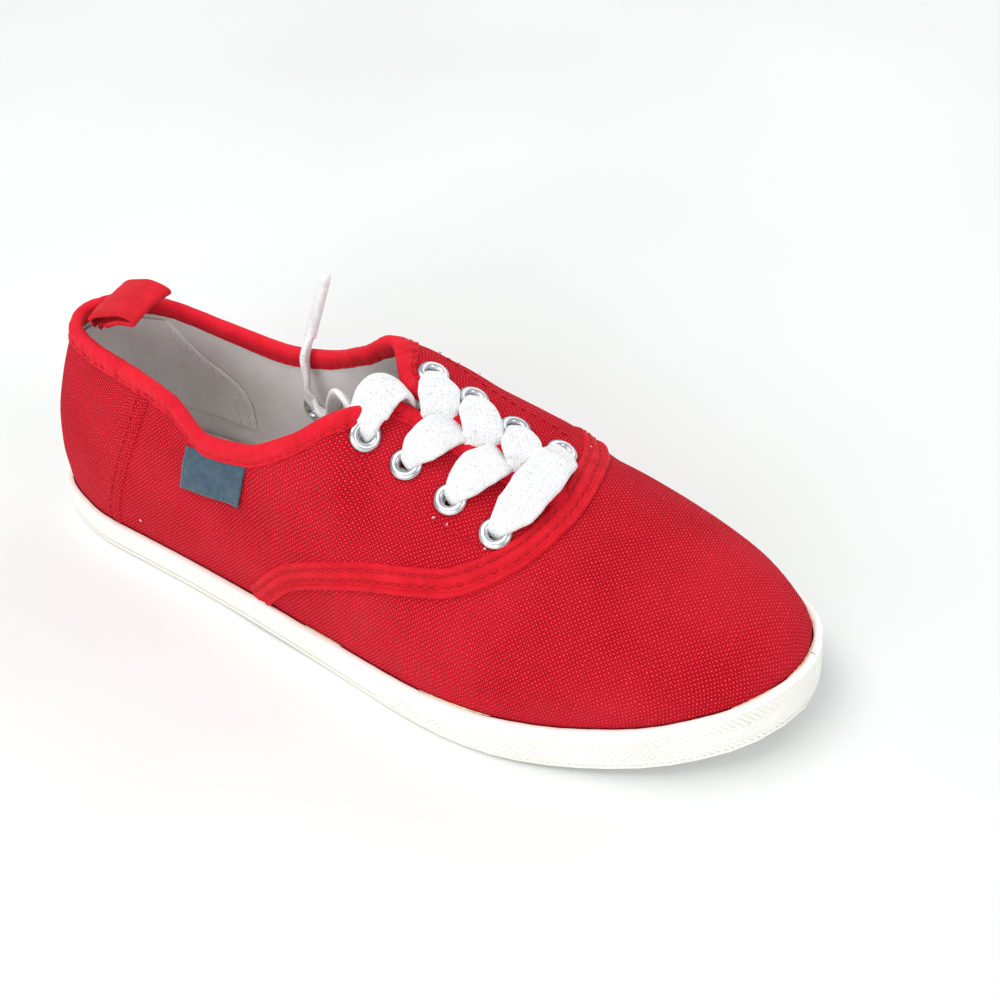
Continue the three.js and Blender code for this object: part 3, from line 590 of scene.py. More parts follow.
# ------------------------------------------------------------------ upper surface with creases
# soft creases and swells: a line from a to b, its half width and depth (minus is a trough)
CREASES = [
    # ax, ay, az, bx, by, bz, width, depth
    (51.0, -20.5, 64.0, 46.0, -26.0, 47.0, 2.4, -1.1),
    (56.0, -22.0, 62.0, 54.0, -27.5, 46.0, 2.6, 0.7),
    (47.0, -20.0, 65.0, 41.0, -26.5, 48.0, 2.2, 0.6),
    (66.0, -27.0, 49.0, 50.0, -30.0, 34.0, 4.5, -0.6),
    (60.0, -24.0, 57.0, 57.0, -28.5, 47.0, 1.8, -0.7),
    (71.0, -26.5, 50.0, 88.0, -31.5, 40.0, 2.6, -0.45),
    (98.0, -27.0, 56.0, 92.0, -32.0, 40.0, 3.6, 0.45),
    (82.0, -31.5, 36.0, 112.0, -36.0, 24.0, 5.0, -0.45),
    (54.0, -29.5, 30.0, 82.0, -32.0, 24.0, 4.0, 0.4),
    (30.0, -26.0, 34.0, 26.0, -25.5, 18.0, 4.0, -0.4),
    (205.0, -22.0, 38.0, 226.0, -14.0, 33.0, 7.0, 0.35),
    (222.0, 10.0, 38.0, 236.0, 14.0, 28.0, 6.0, -0.3),
    (92.0, -29.0, 50.0, 104.0, -34.0, 34.0, 5.0, -0.6),
    (108.0, -25.0, 60.0, 120.0, -33.0, 44.0, 4.0, -0.6),
    (116.0, -22.0, 66.0, 128.0, -29.0, 50.0, 4.0, 0.5),
    (132.0, -24.0, 54.0, 160.0, -25.0, 47.0, 3.5, -0.45),
    (180.0, -22.0, 45.0, 194.0, -33.0, 31.0, 4.5, -0.45),
    (190.0, -12.0, 47.0, 206.0, -26.0, 33.0, 4.5, 0.35),
    (192.0, 0.0, 48.0, 214.0, 4.0, 42.0, 6.0, -0.35),
    (186.0, 24.0, 46.0, 198.0, 33.0, 34.0, 4.5, -0.4),
    (110.0, 26.0, 60.0, 118.0, 31.0, 44.0, 4.5, -0.6),
    (92.0, 25.0, 52.0, 84.0, 26.0, 36.0, 4.5, -0.5),
    (50.0, 24.0, 50.0, 40.0, 27.0, 34.0, 4.0, -0.5),
    (24.0, 18.0, 58.0, 20.0, 23.0, 40.0, 3.5, -0.5),
    (8.0, -12.0, 52.0, 6.0, -18.0, 36.0, 3.5, -0.4),
    (20.0, -17.0, 60.0, 19.0, -23.5, 44.0, 3.0, -0.4),
]


def lump(p, seed, scale):
    """smooth wandering field from a few fixed waves"""
    r = np.random.default_rng(seed)
    out = np.zeros(p.shape[:-1])
    for _ in range(9):
        k = r.normal(size=3)
        k *= 2 * np.pi / (scale * r.uniform(0.7, 1.6)) / np.linalg.norm(k)
        out += np.sin(p @ k + r.uniform(0, 2 * np.pi))
    return out / 3.0


def relief(p, s, t):
    out = 0.22 * lump(p, 3, 46) + 0.10 * lump(p, 4, 17)
    for ax, ay, az, bx, by, bz, w, d in CREASES:
        a, b = np.array([ax, ay, az]), np.array([bx, by, bz])
        ab = b - a
        u = ((p - a) @ ab) / (ab @ ab)
        uc = np.clip(u, 0, 1)
        dist = np.linalg.norm(p - (a + uc[..., None] * ab), axis=-1)
        fade = np.sin(np.pi * np.clip(0.12 + 0.76 * uc, 0, 1))
        out += d * fade * np.exp(-(dist / w) ** 2)
    # gathers just above the foxing at the toe and heel
    edge = np.exp(-(t / 0.10) ** 2)
    out += 0.16 * edge * np.sin(s * 2 * np.pi / 7.3) * np.sin(s * 0.13 + 1.0)
    # held down at the tape and at the opening
    hold = smooth(t, 0.0, 0.06) * (1 - smooth(t, 0.93, 1.0) * 0.7)
    return out * hold


NS, NT = 600, 92
s_grid = np.linspace(0, AROUND, NS, endpoint=False)
t_grid = np.linspace(0, 1, NT)
SS, TT = np.meshgrid(s_grid, t_grid, indexing="ij")


def drop_of(s):
    """how far the bound edge sits below the opening's edge line"""
    p = skin(np.atleast_1d(s), 1.0)
    x, y = p[:, 0], p[:, 1]
    outer_side = np.where(y < 0, 1.0, 0.0)
    collar = np.where(y < 0, 2.3, 1.4) * smooth(x, 8, 24) + 1.2 * (1 - smooth(x, 8, 24))
    k = 1 - smooth(x, 112, 127)
    return collar * k + 0.9 * (1 - k) * (1 - smooth(x, 150, 172) * 0.7)


_tf = np.linspace(0, 1, 161)
_full = skin(s_grid[:, None], _tf[None, :])
_arc = np.concatenate([np.zeros((NS, 1)), np.cumsum(np.linalg.norm(np.diff(_full, axis=1), axis=2), 1)], 1)
FULL = _arc[:, -1]
DROP = drop_of(s_grid)
_k = np.ones(7) / 7
DROP = np.convolve(np.concatenate([DROP[-3:], DROP, DROP[:3]]), _k, "valid")
T_END = np.array([np.interp(FULL[i] - DROP[i] - 1.2, _arc[i], _tf) for i in range(NS)])
TT = TT * T_END[:, None]
P0 = skin(SS, TT)
NRM = skin_normal(SS, TT)
# the sideways step at the tight front of the throat has no steady normal: blend it
for _ in range(2):
    NRM = unit(NRM + 0.5 * np.roll(NRM, 1, 0) + 0.5 * np.roll(NRM, -1, 0))
P1 = P0 + NRM * relief(P0, SS, TT)[..., None]

# seams, as centre lines on the surface
VAMP_SEAM = [
    (92.2, -34.8, 9.9), (99.2, -35.4, 18.0), (107, -35.2, 25.6), (119.5, -35.4, 32.4), (135, -34.2, 37.6), (151, -32, 40.8),
    (161, -29.2, 42.5), (169.5, -23.4, 45.8), (176.5, -14.5, 49.4), (179.7, -4, 51.9), (179.8, 7, 52.7),
    (177.3, 18, 51.4), (173.2, 28.5, 49.0), (165, 34.8, 44), (152, 37.4, 41), (137, 36.6, 38),
    (121, 33.5, 32), (109, 29.8, 24), (99.5, 25.6, 13.5),
]
HEEL_SEAM_OUT = [(30.8, -28.0, 10.0), (34.3, -28.3, 21.4), (39.2, -27.2, 33.5), (44, -24.7, 45.4), (47.7, -22.2, 54.9), (51, -19.8, 63)]
HEEL_SEAM_IN = [(30.8, 25.8, 10.0), (34.5, 27.2, 22.4), (39.2, 27, 33.5), (44, 26.0, 45.4), (47, 24.4, 53.4), (49, 22.8, 58)]

bvh = BVHTree.FromPolygons([Vector(v) for v in P1.reshape(-1, 3)], grid_faces(NS, NT, wrap_n=True).tolist())


def onto(p, offset=0.0):
    """nearest point of the outer skin, and its outward normal"""
    p = np.atleast_2d(np.asarray(p, float))
    q, n = np.zeros_like(p), np.zeros_like(p)
    for i, v in enumerate(p):
        loc, nor, _, _ = bvh.find_nearest(Vector(v))
        q[i], n[i] = loc, nor
    return q, n


# normals of faces point outwards: check once with the toe
_q, _n = onto([(250, 5, 30)])
FLIP = 1.0 if _n[0][0] > 0 else -1.0


def path_on_skin(points, n, closed=False, push=0.0):
    c = catmull(points, n, closed)
    q, nn = onto(c)
    for _ in range(3):          # ease the path, then lay it back on the skin
        mid = q.copy()
        mid[1:-1] = 0.25 * q[:-2] + 0.5 * q[1:-1] + 0.25 * q[2:]
        q, nn = onto(mid)
    nn = nn * FLIP
    nn = unit(nn)
    k = nn.copy()
    for _ in range(3):
        k[1:-1] = unit(0.25 * k[:-2] + 0.5 * k[1:-1] + 0.25 * k[2:])
    return q + k * push, k


def frames(path, nrm):
    d = unit(np.gradient(path, axis=0))
    side = unit(np.cross(d, nrm))
    return d, side


# panels: which side of the seams a face of the skin lies on, tested in station/height space
def curve_st(points, n=160):
    q, _ = onto(catmull(points, n))
    flat = P1.reshape(-1, 3)
    idx = np.array([((flat - v) ** 2).sum(1).argmin() for v in q])
    return s_grid[idx // NT], TT.reshape(-1)[idx]


vs, vt = curve_st(VAMP_SEAM)
hs, ht = curve_st(HEEL_SEAM_OUT, 60)
is_, it_ = curve_st(HEEL_SEAM_IN, 60)
order = np.argsort(vs)
seam_t = np.interp(s_grid, vs[order], vt[order], left=-1, right=-1)
ok = (s_grid >= vs.min()) & (s_grid <= vs.max())
panel = np.ones((NS, NT), int)                     # 1 quarter
panel[(TT < seam_t[:, None]) & ok[:, None]] = 0    # 0 vamp
lo = np.argsort(ht)
heel_s = np.interp(TT, ht[lo], hs[lo])
lo = np.argsort(it_)
heel_i = np.interp(TT, it_[lo], is_[lo])
panel[(SS < heel_s) | (SS > heel_i)] = 2

# cloth coordinates in mm
dt_len = np.linalg.norm(np.diff(P0, axis=1), axis=2)
arc_up = np.concatenate([np.zeros((NS, 1)), np.cumsum(dt_len, 1)], 1)
# the wings of the vamp and the quarters are laid flat from a straight middle line
top = skin(s_grid, 1.0)[:, :2].copy()
bot = P0[:, 0, :2].copy()
run = FULL.copy()
k1, k2 = np.interp(ST[10], s_grid, FULL), np.interp(ST[22], s_grid, FULL)
w1, w2 = s_grid < ST[10], s_grid > ST[22]
top[w1] = np.stack([C["ox"](s_grid[w1]) - 8.0, np.full(w1.sum(), 2.0)], -1)
top[w2] = np.stack([C["ox"](s_grid[w2]) - 2.0, np.full(w2.sum(), 5.0)], -1)
run[w1], run[w2] = k1, k2
bot[w1] = np.stack([C["ox"](s_grid[w1]), np.full(w1.sum(), -41.2)], -1)
bot[w2] = np.stack([C["ox"](s_grid[w2]), np.full(w2.sum(), 34.4)], -1)
from_top = run[:, None] - arc_up
pd = unit(bot - top)
uv_vamp = np.stack([top[:, None, 0] + pd[:, None, 0] * from_top, top[:, None, 1] + pd[:, None, 1] * from_top], -1)
uv_wall = np.stack([np.repeat(s_grid[:, None], NT, 1), arc_up], -1)

faces = grid_faces(NS, NT, wrap_n=True)
fi, fj = faces[:, 0] // NT, faces[:, 0] % NT
fpanel = panel[fi, fj]
loops_i, loops_j = faces // NT, faces % NT
wrap = (fi == NS - 1)
uw = uv_wall[loops_i, loops_j].copy()
uw[wrap, 1:3, 0] += AROUND
uvl = np.where((fpanel != 2)[:, None, None], uv_vamp[loops_i, loops_j], uw)
if FLIP < 0:
    faces = faces[:, ::-1]
    uvl = uvl[:, ::-1]

# the cloth is punched where the eyelets go
HOLES = [(125.0, -12.5), (137.9, -12.4), (152.7, -14.0), (167.5, -15.3), (129.0, 15.8), (141.6, 16.3), (155.7, 15.0), (168.6, 18.3)]
hole_at = []
for hx, hy in HOLES:
    hit = bvh.ray_cast(Vector((hx, hy, 130)), Vector((0, 0, -1)))[0]
    hole_at.append(np.array(hit))
hole_at.append(np.array(bvh.find_nearest(Vector((76.9, 23.5, 35.7)))[0]))


def punched(points, facelist, radius, slack):
    mid = points[facelist].mean(1)
    keep = np.ones(len(facelist), bool)
    for c in hole_at:
        keep &= np.linalg.norm(mid - c, axis=1) > radius + slack
    return keep


kp = punched(P1.reshape(-1, 3), faces, 2.2, 0.0)
faces, uvl, fpanel = faces[kp], uvl[kp], fpanel[kp]

# hidden foot of the canvas, inside the tape
n0 = unit(np.stack([NRM[:, 0, 0], NRM[:, 0, 1], np.zeros(NS)], -1))
foot = P0[:, 0].copy()
foot[:, 2] = ground(foot[:, 0]) + SOLE_THICK + GAP
verts = np.vstack([P1.reshape(-1, 3), foot])
base = NS * NT
ii = np.arange(NS)
jj = (ii + 1) % NS
ff = np.stack([base + ii, base + jj, jj * NT, ii * NT], -1)
if FLIP < 0:
    ff = ff[:, ::-1]
faces_all = np.vstack([faces, ff])
uv_all = np.concatenate([uvl.reshape(-1, 2), np.zeros((NS * 4, 2))])
upper = make("upper_canvas", verts, faces_all, [M_VAMP, M_QUARTER, M_HEEL], uv=uv_all,
             face_mat=np.concatenate([fpanel, np.full(NS, 1)]))
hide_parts("upper")

# lining: the inner face, closed to the canvas at the foot
NL, ML = 320, 44
sl, tl = np.linspace(0, AROUND, NL, endpoint=False), np.linspace(0, 0.995, ML)
SL, TL = np.meshgrid(sl, tl, indexing="ij")
TL = TL * np.interp(sl, s_grid, T_END)[:, None]
PL, NLn = skin(SL, TL), skin_normal(SL, TL)
for _ in range(2):
    NLn = unit(NLn + 0.5 * np.roll(NLn, 1, 0) + 0.5 * np.roll(NLn, -1, 0))
PI = PL - NLn * (WALL + 0.12 * lump(PL, 8, 30)[..., None])
fl = PI[:, 0].copy()
fl[:, 2] = ground(fl[:, 0]) + SOLE_THICK + GAP
uvL = np.stack([SL, TL * 60], -1)
facesL = grid_faces(NL, ML, wrap_n=True)
if FLIP > 0:
    facesL = facesL[:, ::-1]
bl = NL * ML
a = np.arange(NL)
b_ = (a + 1) % NL
fb = np.stack([a * ML, b_ * ML, bl + b_, bl + a], -1)
facesL = facesL[punched(PI.reshape(-1, 3), facesL, 2.7, 0.0)]
lining = make("lining", np.vstack([PI.reshape(-1, 3), fl]), np.vstack([facesL, fb]), M_LINING,
              uv=np.vstack([uvL.reshape(-1, 2), uvL[:, 0]]))
bvh_in = BVHTree.FromPolygons([Vector(v) for v in PI.reshape(-1, 3)], grid_faces(NL, ML, wrap_n=True).tolist())


def onto_in(p):
    p = np.atleast_2d(np.asarray(p, float))
    q, n = np.zeros_like(p), np.zeros_like(p)
    for i, v in enumerate(p):
        loc, nor, _, _ = bvh_in.find_nearest(Vector(v))
        q[i], n[i] = loc, nor
    return q, -n * FLIP


# ------------------------------------------------------------------ stitches
def stitches(name, rows, mat, length=2.7, gap=0.65, radius=0.38, sink=0.08):
    """rows: list of (path, normals). Each stitch is a short swelling thread that dips in at its ends."""
    V, F = [], []
    ring = 6
    for path, nrm in rows:
        l = np.concatenate([[0], np.cumsum(np.linalg.norm(np.diff(path, axis=0), axis=1))])
        x = 0.3
        while x + length < l[-1]:
            w = x + np.linspace(0, length, 5) + rng.uniform(-0.08, 0.08)
            p = np.stack([np.interp(w, l, path[:, i]) for i in range(3)], -1)
            n = unit(np.stack([np.interp(w, l, nrm[:, i]) for i in range(3)], -1))
            d = unit(np.gradient(p, axis=0))
            side = unit(np.cross(d, n))
            rr = radius * np.array([0.45, 0.95, 1.05, 0.95, 0.45])
            hh = np.array([-0.35, 0.16, 0.26, 0.16, -0.35]) - sink
            b0 = len(V)
            for k in range(5):
                for m in range(ring):
                    a = 2 * math.pi * m / ring
                    V.append(p[k] + n[k] * (hh[k] + rr[k] * 0.8 * math.sin(a)) + side[k] * rr[k] * math.cos(a))
            for k in range(4):
                for m in range(ring):
                    F.append([b0 + k * ring + m, b0 + k * ring + (m + 1) % ring, b0 + (k + 1) * ring + (m + 1) % ring, b0 + (k + 1) * ring + m])
            F.append([b0 + m for m in range(ring)][::-1])
            F.append([b0 + 4 * ring + m for m in range(ring)])
            x += length + gap
    ob = make(name, np.array(V), F, mat)
    return ob


# ------------------------------------------------------------------ seam tape, with piping on its vamp side
def skin_strip(name, path, nrm, section, mat, uvscale=1.0, wobble=0.0, seed=1):
    """section: (across, height) pairs; each point is laid back on the skin, then lifted"""
    d, side = frames(path, nrm)
    n, m = len(path), len(section)
    l = np.concatenate([[0], np.cumsum(np.linalg.norm(np.diff(path, axis=0), axis=1))])
    V = np.zeros((n, m, 3))
    UV = np.zeros((n, m, 2))
    for j, (a, h) in enumerate(section):
        w = wobble * np.sin(l * 2 * np.pi / 9.0 + j * 0.4 + seed) if wobble else 0.0
        q, qn = onto(path + side * a)
        V[:, j] = q + unit(qn * FLIP + nrm) * (h + w * (h > 0.2))[..., None] if not np.isscalar(w) else q + unit(qn * FLIP + nrm) * h
        UV[:, j] = np.stack([l, np.full(n, a)], -1)
    f = grid_faces(n, m)
    ob = make(name, V.reshape(-1, 3), f, mat, uv=UV.reshape(-1, 2) * uvscale)
    return ob, l


sp, sn = path_on_skin(VAMP_SEAM, 300)
sd, sside = frames(sp, sn)
# `side` points to the vamp on this path or away from it: find out at the front
toe_sign = 1.0 if sside[150][0] > 0 else -1.0
T = toe_sign
# the tape: from the quarter edge to the vamp edge, then the raised piping
section = [(-3.7 * T, -0.2), (-3.6 * T, 0.55), (-3.1 * T, 0.75), (-2.0 * T, 0.70), (-1.55 * T, 0.42), (-1.1 * T, 0.72),
           (0.2 * T, 0.82), (1.1 * T, 0.74), (1.55 * T, 0.42), (2.0 * T, 0.66), (2.7 * T, 0.62), (2.95 * T, 0.42),
           (3.1 * T, 0.95), (3.5 * T, 1.3), (4.0 * T, 1.25), (4.4 * T, 0.75), (4.5 * T, -0.2)]
if T < 0:
    section = section[::-1]
skin_strip("vamp_seam_tape", sp, sn, section, M_SEAM, wobble=0.06)
rows = []
for off in (-1.55, 1.55):
    q, qn = onto(sp + sside * off * T)
    rows.append((q + sn * 0.62, sn))

# a tone-on-tone stitch line holds the facing below the eyelets
fp, fn = path_on_skin([(124.8, -19.0, 66.5), (129.1, -18.8, 59.3), (137.1, -20.2, 56.0), (150.4, -19.8, 53.3), (160.0, -20.0, 51.0), (168.5, -21.0, 47.6)], 90)
rows.append((fp + fn * 0.18, fn))
gp, gn_ = path_on_skin([(125.0, 24.5, 66.0), (134.0, 24.6, 64.0), (146.0, 24.6, 61.0), (158.0, 25.0, 57.0), (168.0, 26.4, 52.0)], 90)
rows.append((gp + gn_ * 0.18, gn_))

# heel seams: the heel panel lies over the quarters, two stitch rows
for nm, pts in (("outer", HEEL_SEAM_OUT), ("inner", HEEL_SEAM_IN)):
    hp, hn = path_on_skin(pts, 70)
    hd, hside = frames(hp, hn)
    hsign = 1.0 if hside[30][0] > 0 else -1.0     # towards the toe
    sec = [(-7.5, 0.02), (-6.0, 0.10), (-3.0, 0.30), (-1.6, 0.34), (0, 0.5), (0.9, 0.5), (1.25, 0.38), (1.35, -0.2)]
    sec = [(a * hsign, h) for a, h in sec]
    if hsign < 0:
        sec = sec[::-1]
    skin_strip(f"heel_panel_edge_{nm}", hp, hn, sec, M_HEEL)
    for off in (-0.6, -3.0):
        q, qn = onto(hp + hside * off * hsign)
        rows.append((q + hn * 0.42, hn))

# ------------------------------------------------------------------ binding round the collar and throat
NB = 900
sb = np.linspace(0, AROUND, NB, endpoint=False)
# even steps along the edge itself
edge = skin(sb, 1.0)
el = np.concatenate([[0], np.cumsum(np.linalg.norm(np.diff(np.vstack([edge, edge[:1]]), axis=0), axis=1))])
sb = np.interp(np.linspace(0, el[-1], NB, endpoint=False), el, np.append(sb, AROUND))
edge = skin(sb, 1.0)
tb = np.linspace(0.5, 1, 60)
Sb, Tb = np.meshgrid(sb, tb, indexing="ij")
Pb = skin(Sb, Tb)
lb = np.concatenate([np.zeros((NB, 1)), np.cumsum(np.linalg.norm(np.diff(Pb, axis=1), axis=2), 1)], 1)
lb = lb[:, -1:] - lb
drop_b = np.interp(sb, s_grid, DROP)
lb = lb - drop_b[:, None]                         # distance below the bound edge
nb = skin_normal(sb, 0.96)
for _ in range(4):
    nb = unit(nb + 0.5 * np.roll(nb, 1, 0) + 0.5 * np.roll(nb, -1, 0))
gb = unit(skin(sb, 0.99) - skin(sb, 0.95))
for _ in range(2):
    gb = unit(gb + 0.5 * np.roll(gb, 1, 0) + 0.5 * np.roll(gb, -1, 0))
room = np.abs(edge[:, 1] - THROAT_Y)
throat = (edge[:, 0] > 125.5)
reach = np.where(throat, np.clip((room - 0.25) / 1.3, 0.05, 1.0), 1.0)
wid = np.where(throat, 0.86, 1.0)
wid = wid * (1 + 0.55 * smooth(edge[:, 1], 6.0, 14.0) * smooth(edge[:, 0], 104, 112))
kk = np.ones(9) / 9
wid = np.convolve(np.concatenate([wid[-4:], wid, wid[:4]]), kk, "valid")


def below(dist):
    """point of the outer skin at a distance below the edge, for every column"""
    out = np.zeros((NB, 3))
    for i in range(NB):
        d = dist[i] if not np.isscalar(dist) else dist
        k = np.interp(-d, -lb[i], np.arange(60))
        a, f = int(k), k - int(k)
        out[i] = Pb[i, a] * (1 - f) + Pb[i, min(a + 1, 59)] * f
    return out


lenb = np.linspace(0, el[-1], NB, endpoint=False)
puck = (np.sin(lenb * 2 * np.pi / 3.3) * 0.10 + 0.12 * np.sin(lenb * 2 * np.pi / 7.9 + 2 * np.sin(lenb / 31)))
puck = 1.5 * puck * (0.6 + 0.4 * np.sin(lenb / 19.0))
edge = below(0.0)
BIND = [(5.3, -0.3), (5.25, 0.45), (4.95, 0.72), (4.45, 0.62), (4.1, 0.40), (3.7, 0.68), (2.9, 0.95), (2.0, 1.12), (1.0, 1.2), (0.2, 1.15)]
cols = []
for d, h in BIND:
    q = below(d * wid)
    near, _ = q, None
    rel = relief(q, sb, np.full(NB, 0.93))
    amp = 1.0 if 0.5 < d < 5.0 else 0.2
    cols.append(q + nb * (h + amp * puck + rel * 0.8)[:, None])
for g_, h in ((0.7, 0.75), (1.1, 0.0), (1.2, -0.8), (1.05, -1.5), (0.6, -2.1)):
    cols.append(edge + gb * (g_ * reach)[:, None] + nb * (h + 0.4 * puck)[:, None])
for d, h in ((0.3, -2.75), (1.4, -2.85), (2.8, -2.7), (3.8, -2.35), (4.2, -2.15), (4.6, -2.35), (5.3, -2.2), (5.5, -1.5)):
    cols.append(below(d * wid) + nb * (h - 0.7 * puck)[:, None])
BV = np.stack(cols, 1)
mB = BV.shape[1]
accB = np.concatenate([[0], np.cumsum(np.linalg.norm(np.diff(BV[100], axis=0), axis=1))])
uvB = np.stack([np.repeat(lenb[:, None], mB, 1), np.repeat(accB[None], NB, 0)], -1)
fB = grid_faces(NB, mB, wrap_n=True)
if FLIP < 0:
    fB = fB[:, ::-1]
uvBl = uvB[fB // mB, fB % mB].copy()
last = (fB[:, 0] // mB == NB - 1) | (fB[:, 0] // mB == 0) & (fB[:, 1] // mB == NB - 1)
make("binding", BV.reshape(-1, 3), fB, M_BIND, uv=uvBl.reshape(-1, 2))
q = below(4.1 * wid)
rows.append((np.vstack([q, q[:1]]) + np.vstack([nb, nb[:1]]) * 0.55, np.vstack([nb, nb[:1]])))
stitches("stitches_red", rows, M_STITCH)
q = below(4.2 * wid)
stitches("stitches_inside", [((np.vstack([q, q[:1]]) - np.vstack([nb, nb[:1]]) * 2.25), -np.vstack([nb, nb[:1]]))], M_STITCH, radius=0.28)

# ------------------------------------------------------------------ foxing tape with a rim and ribs
NF = 720
sf = np.linspace(0, AROUND, NF, endpoint=False)
fx, fy, fnx, fny = outline(sf, 0.0)
gz, tz_ = ground(fx), tape_top(fx)
Hh = tz_ - gz - SOLE_EDGE - GAP
z0 = gz + SOLE_EDGE + GAP
wave = 0.10 * np.sin(sf * 2 * np.pi / 23.0) + 0.06 * np.sin(sf * 2 * np.pi / 7.1 + 1)


def foxing_ring(out, zz):
    return np.stack([fx + fnx * out, fy + fny * out, zz], -1)


prof = [(-TAPE_THICK, 0.0, 0), (-0.5, 0.0, 0), (-0.12, 0.2, 0), (0.0, 0.8, 0), (-0.05, 0.30, 1), (-0.05, 0.60, 1), (-0.05, 0.86, 1),
        (0.0, 0.905, 1), (0.14, 0.925, 1), (0.16, 0.95, 1), (0.10, 0.975, 1), (-0.35, 1.0, 1), (-1.1, 1.012, 1), (-1.9, 1.0, 1), (-TAPE_THICK - 0.1, 0.975, 1)]
rings = []
for o, z, mode in prof:
    zz = z0 + (z * Hh if mode else z)
    if z >= 0.9:
        zz = zz + wave * 0.6
    rings.append(foxing_ring(o + (0.05 * np.sin(sf / 5.0) if 0.2 < z < 0.9 else 0), zz))
FV = np.stack(rings, 1)
fF = grid_faces(NF, FV.shape[1], wrap_n=True)
fox = make("foxing_tape", FV.reshape(-1, 3), fF[:, ::-1], M_RUBBER)
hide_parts("foxing")

# herringbone ribs round the forefoot: rows from the top down
RIB_PITCH = 1.9
RIB_ROWS = [
    # top and bottom as shares of the tape's height, lean in mm along the tape, rib width
    {"top": 0.90, "low": 0.55, "lean": -4.2, "wide": 1.66},
    {"top": 0.53, "low": 0.165, "lean": 4.2, "wide": 1.66},
    {"top": 0.15, "low": 0.005, "lean": -1.8, "wide": 1.6},
]
acc = np.concatenate([[0], np.cumsum(np.hypot(np.diff(np.append(fx, fx[0])), np.diff(np.append(fy, fy[0]))))])
sfe = np.append(sf, AROUND)
V, F = [], []
tot = acc[-1]
for row in RIB_ROWS:
    a = 0.0
    while a < tot - RIB_PITCH * 0.5:
        s_mid = np.interp(a, acc, sfe)
        x_mid = C["ox"](np.array(s_mid))
        lateral = s_mid < ST[16]
        start = 137.0 if lateral else 140.0
        strength = float(smooth(x_mid, start, start + 20)) * (1 - 0.95 * float(1 - smooth(abs(s_mid - float(ST[16]) - 1.0), 10, 24)))
        if strength < 0.08:
            a += RIB_PITCH
            continue
        hgt = 0.42 * strength * rng.uniform(0.85, 1.1)
        b0 = len(V)
        steps = 4 if abs(row["lean"]) > 2 else 2
        for k in range(steps + 1):
            u = k / steps
            share = row["low"] + (row["top"] - row["low"]) * u
            along = a + row["lean"] * (u - 0.5)
            end = 0.55 if k in (0, steps) else 1.0
            for da, hh in ((-row["wide"] / 2, -0.12), (-row["wide"] * 0.36, hgt * end), (row["wide"] * 0.36, hgt * end), (row["wide"] / 2, -0.12)):
                ss = np.interp((along + da) % tot, acc, sfe)
                ox, oy, nx, ny = outline(np.array(ss), 0.0)
                zz = ground(ox) + SOLE_EDGE + GAP + share * (tape_top(ox) - ground(ox) - SOLE_EDGE - GAP)
                V.append((float(ox + nx * hh), float(oy + ny * hh), float(zz)))
        for k in range(steps):
            for m in range(3):
                p = b0 + k * 4 + m
                F.append([p, p + 4, p + 5, p + 1])
        F.append([b0, b0 + 1, b0 + 2, b0 + 3])
        F.append([b0 + steps * 4 + 3, b0 + steps * 4 + 2, b0 + steps * 4 + 1, b0 + steps * 4])
        a += RIB_PITCH
make("foxing_ribs", np.array(V), F, M_RUBBER, shade=False)

# the tape's ends overlap at the very toe: a thin step, and a bead of old glue along the rim there
s_toe = float(ST[16]) + 3.0
so = s_toe + np.linspace(0, 7.0, 12)
ox_, oy_, nx_, ny_ = outline(so, 0.0)
hh_ = tape_top(ox_) - ground(ox_) - SOLE_EDGE - GAP
zb = ground(ox_) + SOLE_EDGE + GAP
cols_ = []
for o, sh in ((0.02, 0.02), (0.38, 0.03), (0.42, 0.30), (0.42, 0.60), (0.42, 0.86), (0.46, 0.93), (0.40, 0.985), (-0.2, 1.03), (-1.4, 1.05), (-2.0, 1.0)):
    f_ = 1 - smooth(np.arange(12), 8, 11)
    oo = o * f_ - 0.12 * (1 - f_)
    cols_.append(np.stack([ox_ + nx_ * oo, oy_ + ny_ * oo, zb + hh_ * sh], -1))
OV = np.stack(cols_, 1)
step = OV[0].copy()
step[:, 0] -= nx_[0] * 0.5
step[:, 1] -= ny_[0] * 0.5
OVa = np.concatenate([step[None], OV])
make("foxing_overlap", OVa.reshape(-1, 3), grid_faces(13, 10)[:, ::-1], M_RUBBER)

